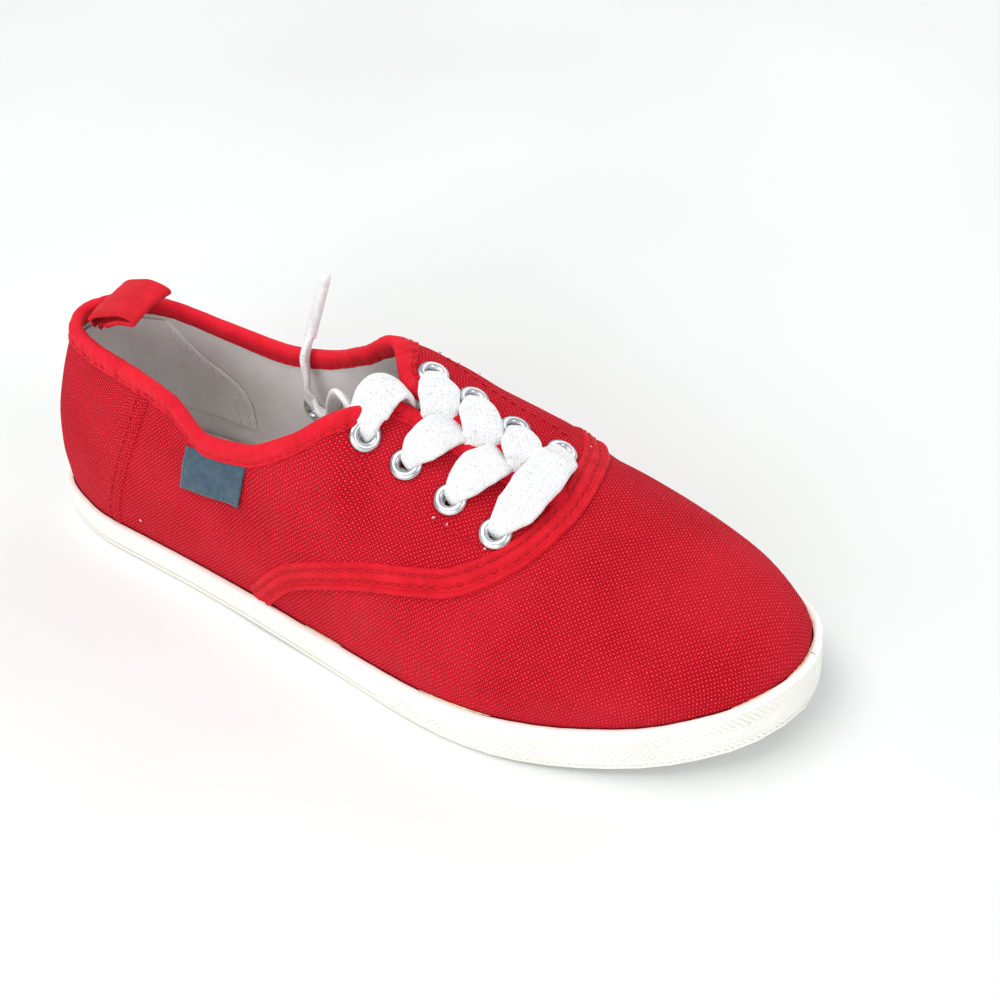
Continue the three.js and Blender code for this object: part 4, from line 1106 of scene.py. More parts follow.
mG, ntG, bG = new_mat("old_glue")
gG = G(ntG)
nG = gG.noise(gG.obj(), 420, 4)
ntG.links.new(gG.ramp(nG, [(0.3, srgb(196, 170, 132)), (0.7, srgb(236, 222, 196))]), bG.inputs["Base Color"])
bG.inputs["Roughness"].default_value = 0.4
ntG.links.new(gG.bump(nG, 0.0002, 0.8), bG.inputs["Normal"])
V, F = [], []
r_ = np.random.default_rng(11)
for s0, s1, rad in ((s_toe - 30, s_toe - 16, 0.30), (s_toe - 12, s_toe + 6, 0.42), (s_toe + 9, s_toe + 30, 0.32), (s_toe - 120, s_toe - 96, 0.22), (s_toe - 165, s_toe - 150, 0.2)):
    m_ = int((s1 - s0) / 0.7)
    ss = np.linspace(s0, s1, m_)
    gx_, gy_, gnx, gny = outline(ss, INSET - 0.45)
    b0 = len(V)
    ends = np.sin(np.pi * np.linspace(0, 1, m_)) ** 0.5
    for k_ in range(m_):
        rr = rad * ends[k_] * r_.uniform(0.7, 1.25) + 0.02
        for a in range(7):
            an = 2 * math.pi * a / 7
            V.append((gx_[k_] + gnx[k_] * rr * 1.3 * math.cos(an), gy_[k_] + gny[k_] * rr * 1.3 * math.cos(an), tape_top(gx_[k_]) + 0.05 + rr * math.sin(an)))
    for k_ in range(m_ - 1):
        for a in range(7):
            F.append([b0 + k_ * 7 + a, b0 + k_ * 7 + (a + 1) % 7, b0 + (k_ + 1) * 7 + (a + 1) % 7, b0 + (k_ + 1) * 7 + a])
    F.append([b0 + a for a in range(7)][::-1])
    F.append([b0 + (m_ - 1) * 7 + a for a in range(7)])
make("glue_bead", np.array(V, float), F, mG)

# outsole keeps its solid; its finish is the same rubber
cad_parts["outsole"].data.materials.clear()
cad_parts["outsole"].data.materials.append(M_RUBBER)

# ------------------------------------------------------------------ insole
NI = 240
si = np.linspace(0, AROUND, NI, endpoint=False)
inset_i = INSET + WALL + GAP + 0.5
ix, iy, inx, iny = outline(si, inset_i)
rings = []
cx_, cy_ = np.interp(ix, [0, 250], [0, 0]), None
levels = [(0.0, 0.0), (0.0, 2.3), (0.35, 2.85), (1.0, 3.0)]
for ins, h in levels:
    x, y, _, _ = outline(si, inset_i + ins)
    rings.append(np.stack([x, y, ground(x) + SOLE_THICK + GAP + h], -1))
# straight-across rungs for the top
V = np.vstack(rings)
F = []
for r in range(len(levels) - 1):
    for i in range(NI):
        j = (i + 1) % NI
        F.append([r * NI + i, r * NI + j, (r + 1) * NI + j, (r + 1) * NI + i])
topi = (len(levels) - 1) * NI
cols_in = 10
idx = [[topi + i for i in range(NI)]]
V = list(map(tuple, V))
half = NI // 2
grid = {}
for i in range(0, half + 1):
    a, b2 = topi + i, topi + (NI - i) % NI
    if i in (0, half):
        grid[i] = [a]
        continue
    pa, pb = np.array(V[a]), np.array(V[b2])
    line = [a]
    for k in range(1, cols_in):
        u = k / cols_in
        p = pa * (1 - u) + pb * u
        p[2] = ground(p[0]) + SOLE_THICK + GAP + 3.0 - 0.25 * math.sin(math.pi * u)
        line.append(len(V))
        V.append(tuple(p))
    line.append(b2)
    grid[i] = line
for i in range(0, half):
    A, B = grid[i], grid[i + 1]
    if len(A) == 1:
        for k in range(len(B) - 1):
            F.append([A[0], B[k], B[k + 1]])
    elif len(B) == 1:
        for k in range(len(A) - 1):
            F.append([A[k], B[0], A[k + 1]])
    else:
        for k in range(len(A) - 1):
            F.append([A[k], B[k], B[k + 1], A[k + 1]])
V = np.array(V)
ins = make("insole_top", V, F, M_INSOLE, uv=V[:, :2].copy())
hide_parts("insole")

# ------------------------------------------------------------------ tongue: soft sheet
tb_lo, tb_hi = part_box("tongue")
TROWS = [(127, 19, 5.5), (136, 19, 2.2), (150, 18.5, 0.4), (166, 17.5, 0), (186, 14, 0)]
nu, nv = 36, 44
TV = np.zeros((nv + 1, nu + 1, 3))
for j in range(nv + 1):
    x = 127 + (186 - 127) * j / nv
    hw = np.interp(x, [r[0] for r in TROWS], [r[1] for r in TROWS])
    dip = np.interp(x, [r[0] for r in TROWS], [r[2] for r in TROWS])
    ys = THROAT_Y + np.linspace(-1, 1, nu + 1) * hw
    for i, y in enumerate(ys):
        yy = THROAT_Y + math.copysign(max(abs(y - THROAT_Y), 3.0), y - THROAT_Y if y != THROAT_Y else 1)
        hit = bvh.ray_cast(Vector((x, yy, 120)), Vector((0, 0, -1)))[0]
        z = hit.z if hit is not None else 60
        TV[j, i] = (x, y, z - 4.4 - dip)
tk = TV.copy()
tk[:, :, 2] -= 1.5
tv = np.concatenate([TV.reshape(-1, 3), tk.reshape(-1, 3)])
f1 = grid_faces(nv + 1, nu + 1)
n1 = (nv + 1) * (nu + 1)
F = f1.tolist() + (f1[:, ::-1] + n1).tolist()
for j in range(nv):
    for i, fl_ in ((0, 0), (nu, 1)):
        a, b2 = j * (nu + 1) + i, (j + 1) * (nu + 1) + i
        F.append([a, b2, b2 + n1, a + n1] if fl_ == 0 else [b2, a, a + n1, b2 + n1])
for i in range(nu):
    for j, fl_ in ((0, 0), (nv, 1)):
        a, b2 = j * (nu + 1) + i, j * (nu + 1) + i + 1
        F.append([b2, a, a + n1, b2 + n1] if fl_ == 0 else [a, b2, b2 + n1, a + n1])
ton = make("tongue_sheet", tv, F, M_TONGUE_SHADED, uv=tv[:, :2].copy())
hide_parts("tongue")

# ------------------------------------------------------------------ eyelets
EYE = [
    {"outer": (125.0, -12.5), "inner": (129.0, 15.8)}, {"outer": (137.9, -12.4), "inner": (141.6, 16.3)},
    {"outer": (152.7, -14.0), "inner": (155.7, 15.0)}, {"outer": (167.5, -15.3), "inner": (168.6, 18.3)},
]


def top_at(x, y):
    hit, n, _, _ = bvh.ray_cast(Vector((x, y, 130)), Vector((0, 0, -1)))
    if hit is None:                     # over the open throat: the nearest cloth
        z = float(np.interp(x, [113, 126, 141, 155, 166, 175], [76, 72, 66.2, 61.2, 57.2, 54]))
        hit, n, _, _ = bvh.find_nearest(Vector((x, y, z)))
        hit = Vector((x, y, hit.z))
    n = np.array(n) * FLIP
    if n[2] < 0:
        n = -n
    return np.array(hit), n


def smooth_normal(p, n, r=3.5):
    """mean normal round a point, so a flange sits flat on the cloth"""
    t1 = unit(np.cross(n, [0, 1, 0.1]))
    t2 = np.cross(n, t1)
    pts = [p + t1 * math.cos(a) * r + t2 * math.sin(a) * r for a in np.linspace(0, 2 * math.pi, 13)[:-1]]
    _, nn = onto(np.array(pts))
    return unit((nn * FLIP).sum(0) + n)


def eyelet(name, p, n, node):
    R, r = 4.8, 2.0
    sec = [(r, -2.9), (r - 0.05, -1.0), (r, 0.6), (r + 0.35, 1.15), (r + 1.1, 1.5), (r + 1.9, 1.35), (R - 0.35, 0.95), (R, 0.5), (R - 0.1, 0.22),
           (r + 0.6, 0.2), (r + 0.35, -2.0), (r + 1.4, -2.15), (r + 1.5, -2.5), (r + 0.6, -2.85)]
    n3 = unit(n)
    t1 = unit(np.cross(n3, [0.2, 1, 0.1]))
    t2 = np.cross(n3, t1)
    k, m = 40, len(sec)
    V = np.zeros((k, m, 3))
    for i in range(k):
        a = 2 * math.pi * i / k
        for j, (rr, zz) in enumerate(sec):
            V[i, j] = p + (t1 * math.cos(a) + t2 * math.sin(a)) * rr + n3 * zz
    ob = make(name, V.reshape(-1, 3), grid_faces(k, m, wrap_n=True, wrap_m=True)[:, ::-1], M_METAL)
    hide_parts(node)
    return ob


SEAT = {}
for i, e in enumerate(EYE):
    for side in ("outer", "inner"):
        p, n = top_at(*e[side])
        n = smooth_normal(p, n)
        SEAT[(side, i)] = (p, n)
        eyelet(f"eyelet_{side}_{i + 1}_ring", p, n, f"eyelet_{side}_{i + 1}")
vp, vn = onto([(76.9, 23.5, 35.7)])
vp, vn = vp[0], unit(vn[0] * FLIP)
eyelet("vent_eyelet_ring", vp, vn, "vent_eyelet")
# inside flange of the ventilation eyelet
def inner_ring(name, p, n, R=4.3, r=2.0):
    sec = [(r, 0.0), (r + 0.2, 0.55), (r + 1.2, 0.8), (R - 0.4, 0.55), (R, 0.15), (R - 0.2, 0.0)]
    t1 = unit(np.cross(n, [0.2, 1, 0.1]))
    t2 = np.cross(n, t1)
    k, m = 36, len(sec)
    V = np.zeros((k, m, 3))
    for i in range(k):
        a = 2 * math.pi * i / k
        for j, (rr, zz) in enumerate(sec):
            V[i, j] = p + (t1 * math.cos(a) + t2 * math.sin(a)) * rr + n * zz
    return make(name, V.reshape(-1, 3), grid_faces(k, m, wrap_n=True, wrap_m=True), M_METAL)


inner_ring("vent_eyelet_back", vp - vn * (WALL + 0.15), -vn)

# ------------------------------------------------------------------ laces
def lace(name, pts, widths, thick, ups, n=56, twist=None, seed=0):
    """a soft flat lace along pts; ups gives the flat side's outward direction"""
    path = catmull(pts, n)
    key = np.linspace(0, 1, len(pts))
    kk = np.linspace(0, 1, n)
    # keys sit at the control points' own arc positions
    cp = np.asarray(pts, float)
    d = np.array([np.argmin(((path - c) ** 2).sum(1)) for c in cp]) / (n - 1)
    w = np.interp(kk, d, widths)
    th = np.interp(kk, d, thick) if not np.isscalar(thick) else np.full(n, thick)
    up = unit(np.stack([np.interp(kk, d, np.asarray(ups, float)[:, i]) for i in range(3)], -1))
    for _ in range(4):
        w[1:-1] = 0.25 * w[:-2] + 0.5 * w[1:-1] + 0.25 * w[2:]
        th[1:-1] = 0.25 * th[:-2] + 0.5 * th[1:-1] + 0.25 * th[2:]
        up[1:-1] = unit(0.25 * up[:-2] + 0.5 * up[1:-1] + 0.25 * up[2:])
    t = unit(np.gradient(path, axis=0))
    up = unit(up - (up * t).sum(1)[:, None] * t)
    side = np.cross(t, up)
    if twist is not None:
        a = np.interp(kk, np.linspace(0, 1, len(twist)), np.radians(twist))[:, None]
        up, side = up * np.cos(a) + side * np.sin(a), side * np.cos(a) - up * np.sin(a)
    m = 22
    l = np.concatenate([[0], np.cumsum(np.linalg.norm(np.diff(path, axis=0), axis=1))])
    V = np.zeros((n, m, 3))
    UV = np.zeros((n, m, 2))
    r = np.random.default_rng(seed)
    ph = r.uniform(0, 6.28, 4)
    for j in range(m):
        a = 2 * math.pi * j / m
        c, s = math.cos(a), math.sin(a)
        cu = np.sign(c) * abs(c) ** 0.72
        sv = np.sign(s) * abs(s) ** 0.85
        rip = 1 + 0.028 * np.sin(l * 0.55 + ph[0] + 2 * c) + 0.008 * np.sin(l * 1.5 + ph[1])
        # rolled edges: thinner in the middle, fuller at the edges
        full = 0.78 + 0.30 * abs(c) ** 2 * (1 - 0.3 * abs(c) ** 6)
        V[:, j] = path + side * (cu * w * 0.5 * rip)[:, None] + up * (sv * th * 0.5 * full)[:, None]
        V[:, j] += up * (0.22 * np.sin(l * 0.62 + ph[2] + 1.6 * c) * np.clip(w / 9, 0, 1))[:, None]
        UV[:, j] = np.stack([c * w * 0.5, l], -1)
    F = grid_faces(n, m, wrap_m=True)
    F = F.tolist()
    F.append(list(range(m)))
    F.append([(n - 1) * m + j for j in range(m)][::-1])
    return path, V, UV, F


def add_lace(name, parts, node=None):
    VV, UU, FF, b = [], [], [], 0
    for _, V, UV, F in parts:
        k = V.reshape(-1, 3)
        VV.append(k)
        UU.append(UV.reshape(-1, 2))
        FF += [[i + b for i in f] for f in F]
        b += len(k)
    ob = make(name, np.vstack(VV), FF, M_LACE, uv=np.vstack(UU))
    if node:
        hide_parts(node)
    return ob


def facing(x, y, lift):
    y2 = y
    if abs(y - THROAT_Y) < 2.4:
        a, na = top_at(x, THROAT_Y - 2.4)
        b2, nb2 = top_at(x, THROAT_Y + 2.4)
        p, n = (a + b2) / 2, unit(na + nb2)
        p = np.array([x, y, p[2]])
        return p + n * lift, n
    p, n = top_at(x, y2)
    return p + n * lift, n


# where each strand leaves the gap between the facings
GAP_X = {("outer", 0): 129.5, ("inner", 0): 138.2, ("outer", 1): 143.8, ("inner", 1): 152.0, ("outer", 2): 158.6, ("inner", 2): 165.0}


def crossing(side, i, over):
    p, n = SEAT[(side, i)]
    if side == "outer" and i == 0:      # the top strand puffs up over the edge of the collar
        cam_side = unit(np.array([0.36, -0.62, 0.70]))
        pts = [p - n * 3.4, p - n * 0.6 + np.array([-0.1, 0.4, 0]), (125.0, -11.4, p[2] + 2.1), (124.2, -9.0, p[2] + 4.8), (124.4, -5.2, p[2] + 7.6),
               (125.6, -1.0, p[2] + 8.6), (127.2, 2.2, p[2] + 7.2), (128.5, 3.6, p[2] + 4.0), (129.2, 3.8, p[2] - 0.5), (129.6, 3.8, p[2] - 5.5)]
        ups = [(0.2, -1, 0.2), (0.2, -0.95, 0.35), (0.3, -0.8, 0.5), cam_side, cam_side, unit(cam_side + np.array([0, 0.3, 0.5])),
               (0.25, 0.2, 0.95), (0.3, 0.8, 0.45), (0.3, 0.9, 0.1), (0.3, 0.9, 0.0)]
        return lace("strand_outer_0", pts, [3.4, 3.8, 6.8, 11.0, 12.4, 11.6, 9.6, 7.6, 6.0, 5.2], [2.6, 2.8, 3.2, 3.3, 3.0, 3.0, 2.8, 2.4, 2.0, 1.8], ups, n=70, seed=3)
    gx = GAP_X[(side, i)]
    s = 1 if side == "inner" else -1
    g0, gn = facing(gx, THROAT_Y, 0)
    d = unit(g0 - p)
    side_v = np.cross(n, d)
    a1, n1 = facing(p[0] + d[0] * 5.2, p[1] + d[1] * 5.2, 2.5 + 0.4 * over)
    a2, n2 = facing(p[0] + (gx - p[0]) * 0.55, p[1] + (THROAT_Y - p[1]) * 0.55, 3.0 + 0.9 * over)
    a3, n3 = facing(p[0] + (gx - p[0]) * 0.86, THROAT_Y + s * 2.6, 2.0 + 0.5 * over)
    dive = g0 + d * 1.6 - gn * 1.0
    deep = g0 + d * 4.2 - gn * 4.6
    pts = [p - n * 3.4 + d * 0.2, p - n * 0.6 + d * 0.5, p + n * 1.7 + d * 1.6, a1, a2, a3, dive, deep]
    ups = [-d, unit(-d + n * 0.3), unit(n - d * 0.9), n1, n2, unit(n3 + d * 0.35), unit(gn * 0.5 + d), d]
    widths = [3.4, 3.8, 6.0, 10.6, 12.2, 11.6, 10.4, 8.0]
    thick = [2.6, 2.8, 3.2, 3.0, 2.7, 2.9, 2.4, 2.0]
    return lace(f"strand_{side}_{i}", pts, widths, thick, ups, seed=10 * i + (side == "inner"))


for i in range(3):
    add_lace(f"lace_crossing_{i + 1}", [crossing("outer", i, 0.0 if i else 0.3), crossing("inner", i, 0.5)], f"lace_cross_{i + 1}")

# the straight bar at the toe end
pa, na = SEAT[("outer", 3)]
pb, nb_ = SEAT[("inner", 3)]
d = unit(pb - pa)
m1, mn1 = facing(pa[0] + 2.0, pa[1] + 6.5, 3.2)
m2, mn2 = facing(pa[0] + 3.0, THROAT_Y - 6, 4.2)
m3, mn3 = facing(pa[0] + 3.0, THROAT_Y + 6, 4.4)
m4, mn4 = facing(pb[0] + 1.6, pb[1] - 6.5, 3.4)
bar = lace("bar", [pa - na * 3.2, pa - na * 0.4 + d * 0.4, pa + na * 2.0 + d * 1.6, m1, m2, m3, m4, pb + nb_ * 2.0 - d * 1.6, pb - nb_ * 0.4 - d * 0.4, pb - nb_ * 3.2],
           [3.4, 3.8, 6.4, 11.6, 12.6, 12.6, 11.8, 7.0, 3.8, 3.4], [2.6, 2.8, 3.4, 3.2, 2.9, 2.9, 3.2, 3.4, 2.8, 2.6],
           [-d, unit(na - d), unit(na - d * 0.6), mn1, mn2, mn3, mn4, unit(nb_ + d * 0.6), unit(nb_ + d), d], n=80, seed=77)
add_lace("lace_bar_strap", [bar], "lace_bar")

# free end: out of the top outer eyelet inside, round in the collar, up over the inner side
ROUTE = [
    (122.6, -10.6, 62.6), (117.5, -7.5, 67.5), (112, -3.5, 69.3), (106, 0.5, 66.3), (101.5, 3.5, 59.5), (96, 8, 50),
    (89, 12.6, 44.4), (82.6, 15.4, 44.6), (80.2, 16.3, 49), (80.2, 17.2, 54.4), (79.2, 19, 59.6), (78.8, 23.6, 63.9),
]
UPS = [(0.3, 0.9, 0.2), (0.2, 0.9, 0.4), (0.1, 0.9, 0.4), (-0.3, 0.9, 0.3), (-0.6, 0.7, 0.3), (-0.6, 0.7, 0.4),
       (-0.5, 0.6, 0.6), (-0.4, 0.8, 0.3), (0.7, 0.6, 0.1), (0.8, 0.5, 0.2), (0.8, 0.5, 0.1), (0.8, 0.5, 0.0)]
wd = [4.8, 5.2, 5.4, 5.2, 5.0, 4.8, 4.8, 5.0, 5.4, 6.0, 6.4, 3.8]
path_e, Ve, UVe, Fe = lace("end", ROUTE, wd, [2.2, 2.4, 2.4, 2.4, 2.4, 2.4, 2.4, 2.4, 2.6, 2.8, 2.8, 2.9], UPS, n=110, seed=5)
lace_end = add_lace("lace_free_end", [(path_e, Ve, UVe, Fe)], "lace_end")

# its tip
tip_from, tip_to = np.array(ROUTE[-1], float), np.array((83.4, 29.8, 83.4))
td = unit(tip_to - tip_from)
t1 = unit(np.cross(td, [0, 1, 0.2]))
t2 = np.cross(td, t1)
prof_a = [(0.0, -0.8), (1.5, -0.8), (1.85, -0.3), (1.85, 0.6), (1.8, 1.2), (1.75, 18.8), (1.7, 19.9), (1.4, 20.6), (0.8, 20.9), (0.0, 20.95)]
k, m = 28, len(prof_a)
VA = np.zeros((k, m, 3))
for i in range(k):
    a = 2 * math.pi * i / k
    for j, (rr, zz) in enumerate(prof_a):
        wob = 1 + 0.03 * math.sin(3 * a + zz * 0.4)
        VA[i, j] = tip_from + (t1 * math.cos(a) * 1.05 + t2 * math.sin(a) * 0.95) * rr * wob + td * zz
mA, ntA, bA = new_mat("aglet_plastic")
gA = G(ntA)
na_ = gA.noise(gA.obj(), 500, 3)
ntA.links.new(gA.ramp(na_, [(0.3, srgb(226, 228, 230)), (0.7, srgb(246, 247, 248))]), bA.inputs["Base Color"])
bA.inputs["Roughness"].default_value = 0.28
bA.inputs["Subsurface Weight"].default_value = 0.2
bA.inputs["Subsurface Radius"].default_value = (0.003, 0.003, 0.003)
ntA.links.new(gA.bump(na_, 0.00008, 0.6), bA.inputs["Normal"])
aglet = make("aglet_tip", VA.reshape(-1, 3), grid_faces(k, m, wrap_n=True)[:, ::-1], mA)
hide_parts("aglet")

# ------------------------------------------------------------------ side label, bare
LAB = [  # corners on the skin: upper back, upper front, lower front, lower back
    (67.9, -25.2, 52.4), (90.8, -25.4, 55.4), (89.2, -29.6, 40.9), (66.1, -28.5, 39.1),
]
nu, nv = 30, 18
LV = np.zeros((2, nu + 1, nv + 1, 3))
LUV = np.zeros((2, nu + 1, nv + 1, 2))
A, B, Cc, D = [np.array(v, float) for v in LAB]
for i in range(nu + 1):
    for j in range(nv + 1):
        u, v = i / nu, j / nv
        q = (A * (1 - u) + B * u) * (1 - v) + (D * (1 - u) + Cc * u) * v
        p, n = onto([q])
        n = unit(n[0] * FLIP)
        curl = 0.5 * (abs(u - 0.5) * 2) ** 6 * 0.5 + 0.45 * v ** 5
        rise_ = float(smooth(v, 0.12, 0.45))
        LV[0, i, j] = p[0] + n * (0.22 + 0.6 * rise_ + curl + 0.06 * rise_ * math.sin(u * 9 + v * 3))
        LV[1, i, j] = p[0] + n * (-0.2 + 0.6 * rise_ + curl)
        LUV[:, i, j] = (u * 24, v * 13)
n1 = (nu + 1) * (nv + 1)
f = grid_faces(nu + 1, nv + 1)
F = f.tolist() + (f[:, ::-1] + n1).tolist()
idg = lambda i, j: i * (nv + 1) + j
for i in range(nu):
    F.append([idg(i + 1, 0), idg(i, 0), idg(i, 0) + n1, idg(i + 1, 0) + n1])
    F.append([idg(i, nv), idg(i + 1, nv), idg(i + 1, nv) + n1, idg(i, nv) + n1])
for j in range(nv):
    F.append([idg(0, j), idg(0, j + 1), idg(0, j + 1) + n1, idg(0, j) + n1])
    F.append([idg(nu, j + 1), idg(nu, j), idg(nu, j) + n1, idg(nu, j + 1) + n1])
lab = make("side_label_cloth", LV.reshape(-1, 3), F, M_LABEL, uv=LUV.reshape(-1, 2))
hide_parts("side_label")

# ------------------------------------------------------------------ heel pull loop
LOOP = [  # side view of the tape's middle: forward, up
    (14.9, 64.9), (15.0, 66.6), (15.5, 69.0), (17.4, 72.2), (21.6, 74.9), (27.4, 76.5), (32.8, 76.7), (35.8, 76.2),
    (36.3, 75.2), (33.6, 74.2), (28.8, 73.4), (24.4, 71.9), (21.0, 69.6), (18.4, 67.2), (17.2, 64.9),
]
lp = catmull([(a, 0, b2) for a, b2 in LOOP], 120)
ld = unit(np.gradient(lp, axis=0))
ln = np.stack([ld[:, 2], np.zeros(len(lp)), -ld[:, 0]], -1)
W = 19.4
nu = 26
lu = np.linspace(-0.5, 0.5, nu + 1)
ll = np.concatenate([[0], np.cumsum(np.linalg.norm(np.diff(lp, axis=0), axis=1))])
LPV = np.zeros((2, len(lp), nu + 1, 3))
LPU = np.zeros((2, len(lp), nu + 1, 2))
for k, u in enumerate(lu):
    root = 1 - smooth(lp[:, 2], 66.0, 72.5)
    y = 1.2 + u * W * (1 - 0.46 * root)
    wrapx = np.interp(np.abs(y), [0, 4, 7.6, 10, 12.6], [0, 0.9, 3.4, 6.8, 12.0])
    slump = 0.8 * (abs(u) * 2) ** 2 * (1 - root)
    for side, off in ((0, 0.55), (1, -0.55)):
        q = lp + ln * (off * (1.0 if abs(u) < 0.46 else 1.25))
        skew = (1 - root) * np.interp(y, [-9, 0, 11], [3.0, 0.8, 0.0])
        perk = (1 - root) * smooth(lp[:, 0], 20, 35) * np.interp(y, [-9, -2, 11], [1.3, 0.2, 0.0])
        q = q + np.stack([root * wrapx + skew, y, perk - slump * 0.5 + 0.2 * np.sin(ll * 0.5 + u * 7)], -1)
        LPV[side, :, k] = q
        LPU[side, :, k] = np.stack([ll, np.full(len(lp), u * W)], -1)
n1 = len(lp) * (nu + 1)
f = grid_faces(len(lp), nu + 1)
F = f[:, ::-1].tolist() + (f + n1).tolist()
idg = lambda i, j: i * (nu + 1) + j
for i in range(len(lp) - 1):
    F.append([idg(i, 0), idg(i + 1, 0), idg(i + 1, 0) + n1, idg(i, 0) + n1])
    F.append([idg(i + 1, nu), idg(i, nu), idg(i, nu) + n1, idg(i + 1, nu) + n1])
for j in range(nu):
    F.append([idg(0, j + 1), idg(0, j), idg(0, j) + n1, idg(0, j + 1) + n1])
    e = len(lp) - 1
    F.append([idg(e, j), idg(e, j + 1), idg(e, j + 1) + n1, idg(e, j) + n1])
lpo = make("heel_loop_tape", LPV.reshape(-1, 3), F, M_TAPE, uv=LPU.reshape(-1, 2))
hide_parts("heel_loop")

# ------------------------------------------------------------------ counter lining patch inside the heel
PATCH = [  # front edge of the patch on the lining's inner side, from the collar down
    (26.0, 14.5, 60.0), (27.2, 16.4, 56.5), (28.4, 18.1, 53.0), (30.6, 20.5, 46.7), (33.6, 22.3, 40.9), (38.5, 23.1, 38.0), (43.2, 23.6, 34.8),
    (46.9, 23.8, 31.4), (48.6, 23.9, 26.6), (48.8, 23.9, 20.5), (48.0, 23.7, 14.0),
]
pq = catmull(PATCH, 60)
q, n = onto_in(pq)
rows_in = []
ps, pn = q, unit(n)
d_, side_ = frames(ps, pn)
# stations of the front edge on both sides, then straight lines of station between them
flat = PL.reshape(-1, 3)
st_i = np.array([((PI.reshape(-1, 3) - v) ** 2).sum(1).argmin() for v in ps])
s_in, t_in = sl[st_i // ML], TL.reshape(-1)[st_i]
mirror = ps * np.array([1, -1, 1])
st_o = np.array([((PI.reshape(-1, 3) - v) ** 2).sum(1).argmin() for v in mirror])
s_out, t_out = sl[st_o // ML], TL.reshape(-1)[st_o]
kern = np.ones(13) / 13
sm = lambda a: np.convolve(np.convolve(np.concatenate([np.full(12, a[0]), a, np.full(12, a[-1])]), kern, "valid"), kern, "valid")
s_in, t_in, s_out, t_out = sm(s_in), sm(t_in), sm(s_out), sm(t_out)
s_in = s_in - AROUND
nw = 110
U = np.linspace(0, 1, nw)
SP = s_in[:, None] * (1 - U) + s_out[:, None] * U
TP = t_in[:, None] * (1 - U) + t_out[:, None] * U
lift = 0.55 * np.minimum(1, np.minimum(U, 1 - U) * nw / 1.5)[None, :] + 0.0 * SP
pp = skin(SP, TP) - skin_normal(SP, TP) * (WALL + 0.15 + lift)[..., None]
pu = np.stack([SP, TP * 60], -1)
fP = grid_faces(60, nw)
make("counter_patch", pp.reshape(-1, 3), fP, M_PATCH, uv=pu.reshape(-1, 2))
rows_in = []
for jj_ in (2, 5):
    for col in (jj_, nw - 1 - jj_):
        a = pp[:, col]
        nn = -skin_normal(SP[:, col], TP[:, col])
        rows_in.append((a + nn * 0.1, nn))
stitches("stitches_lining", rows_in, M_STITCH_IN, radius=0.26, length=2.0, gap=0.9)

# ------------------------------------------------------------------ lint caught on the canvas
LINT = [(150.6, -19.5, 53.5), (154.7, -19.4, 52.5), (166.7, -19.8, 49.1), (43.8, -29.2, 16.7), (121.0, 27.5, 64.0), (127.0, 27.8, 62.0), (133.5, 28.2, 60.0), (170.6, 28.4, 48.0)]
V, F = [], []
for c in LINT:
    q, qn = onto([c])
    n = unit(qn[0] * FLIP)
    t1 = unit(np.cross(n, rng.normal(size=3)))
    t2 = np.cross(n, t1)
    b0 = len(V)
    rr = rng.uniform(0.28, 0.45)
    for lvl, (k_, hh) in enumerate(((1.0, 0.25), (0.75, 0.55), (0.3, 0.72))):
        for a in range(7):
            an = 2 * math.pi * a / 7
            V.append(q[0] + n * hh + (t1 * math.cos(an) * 1.5 + t2 * math.sin(an) * 0.8) * rr * k_ * rng.uniform(0.75, 1.25))
    for lvl in range(2):
        for a in range(7):
            F.append([b0 + lvl * 7 + a, b0 + lvl * 7 + (a + 1) % 7, b0 + (lvl + 1) * 7 + (a + 1) % 7, b0 + (lvl + 1) * 7 + a])
    F.append([b0 + 14 + a for a in range(7)])
    F.append([b0 + a for a in range(7)][::-1])
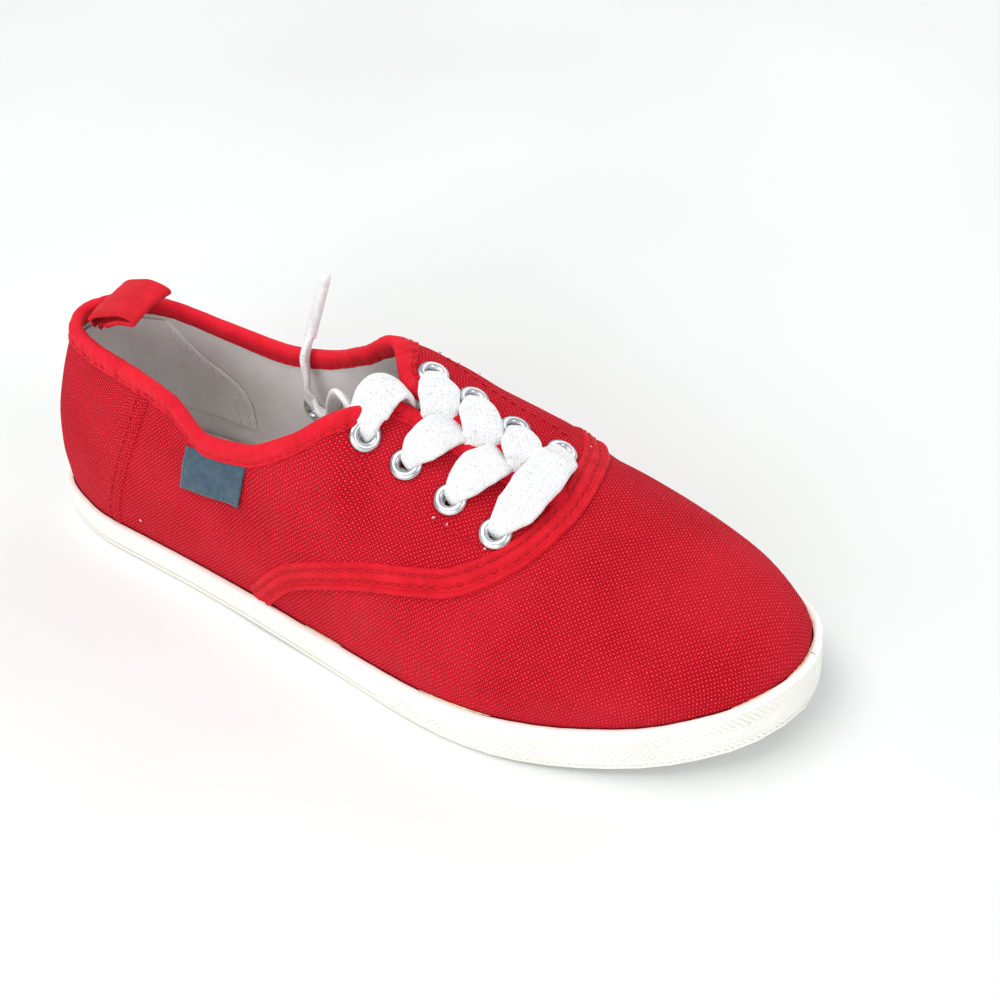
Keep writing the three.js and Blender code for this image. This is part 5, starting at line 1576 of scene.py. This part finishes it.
make("lint_specks", np.array(V), F, thread_mat("lint", (236, 206, 206), (216, 176, 180)))

# ------------------------------------------------------------------ floor, light, world
fm, fnt, fb_ = new_mat("floor_pale")
gf = G(fnt)
fnz = gf.noise(gf.obj(), 5, 2, 0.4)
fnt.links.new(gf.ramp(fnz, [(0.35, srgb(226, 229, 227)), (0.7, srgb(234, 236, 235))]), fb_.inputs["Base Color"])
fb_.inputs["Roughness"].default_value = 0.75
fb_.inputs["Specular IOR Level"].default_value = 0.2
me = bpy.data.meshes.new("floor")
S_ = 3.0
me.from_pydata([(-S_, -S_, 0), (S_, -S_, 0), (S_, S_, 0), (-S_, S_, 0)], [], [[0, 1, 2, 3]])
me.materials.append(fm)
floor = bpy.data.objects.new("floor", me)
floor.location = (0, 0, -0.0003)
sc.collection.objects.link(floor)
floor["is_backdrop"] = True

world = bpy.data.worlds.new("world")
sc.world = world
world.use_nodes = True
bg = world.node_tree.nodes["Background"]
bg.inputs[0].default_value = (0.96, 0.98, 1.0, 1)
bg.inputs[1].default_value = 0.6


def area(name, loc, target, size, power, color=(1, 1, 1)):
    li = bpy.data.lights.new(name, "AREA")
    li.shape = "RECTANGLE"
    li.size, li.size_y = size
    li.energy = power
    li.color = color
    ob = bpy.data.objects.new(name, li)
    sc.collection.objects.link(ob)
    ob.location = loc
    ob.rotation_euler = (Vector(target) - Vector(loc)).to_track_quat("-Z", "Y").to_euler()
    return ob


area("key", (-0.35, -0.25, 1.25), (0, 0, 0.03), (1.0, 0.8), 8.6, (1, 0.985, 0.96))
area("fill", (0.2, -1.15, 0.55), (0, 0, 0.03), (1.3, 0.7), 6.0)
area("front", (0.95, -0.15, 0.75), (-0.02, 0, 0.05), (0.5, 0.4), 1.7)
area("back", (0.1, 1.0, 0.7), (0, 0, 0.03), (1.2, 0.5), 3.0, (0.97, 0.98, 1))

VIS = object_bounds()
flatten = lambda b: [[float(x) for x in c] for c in b]
{"cad": flatten(CAD_BOX), "visual": flatten(VIS)}
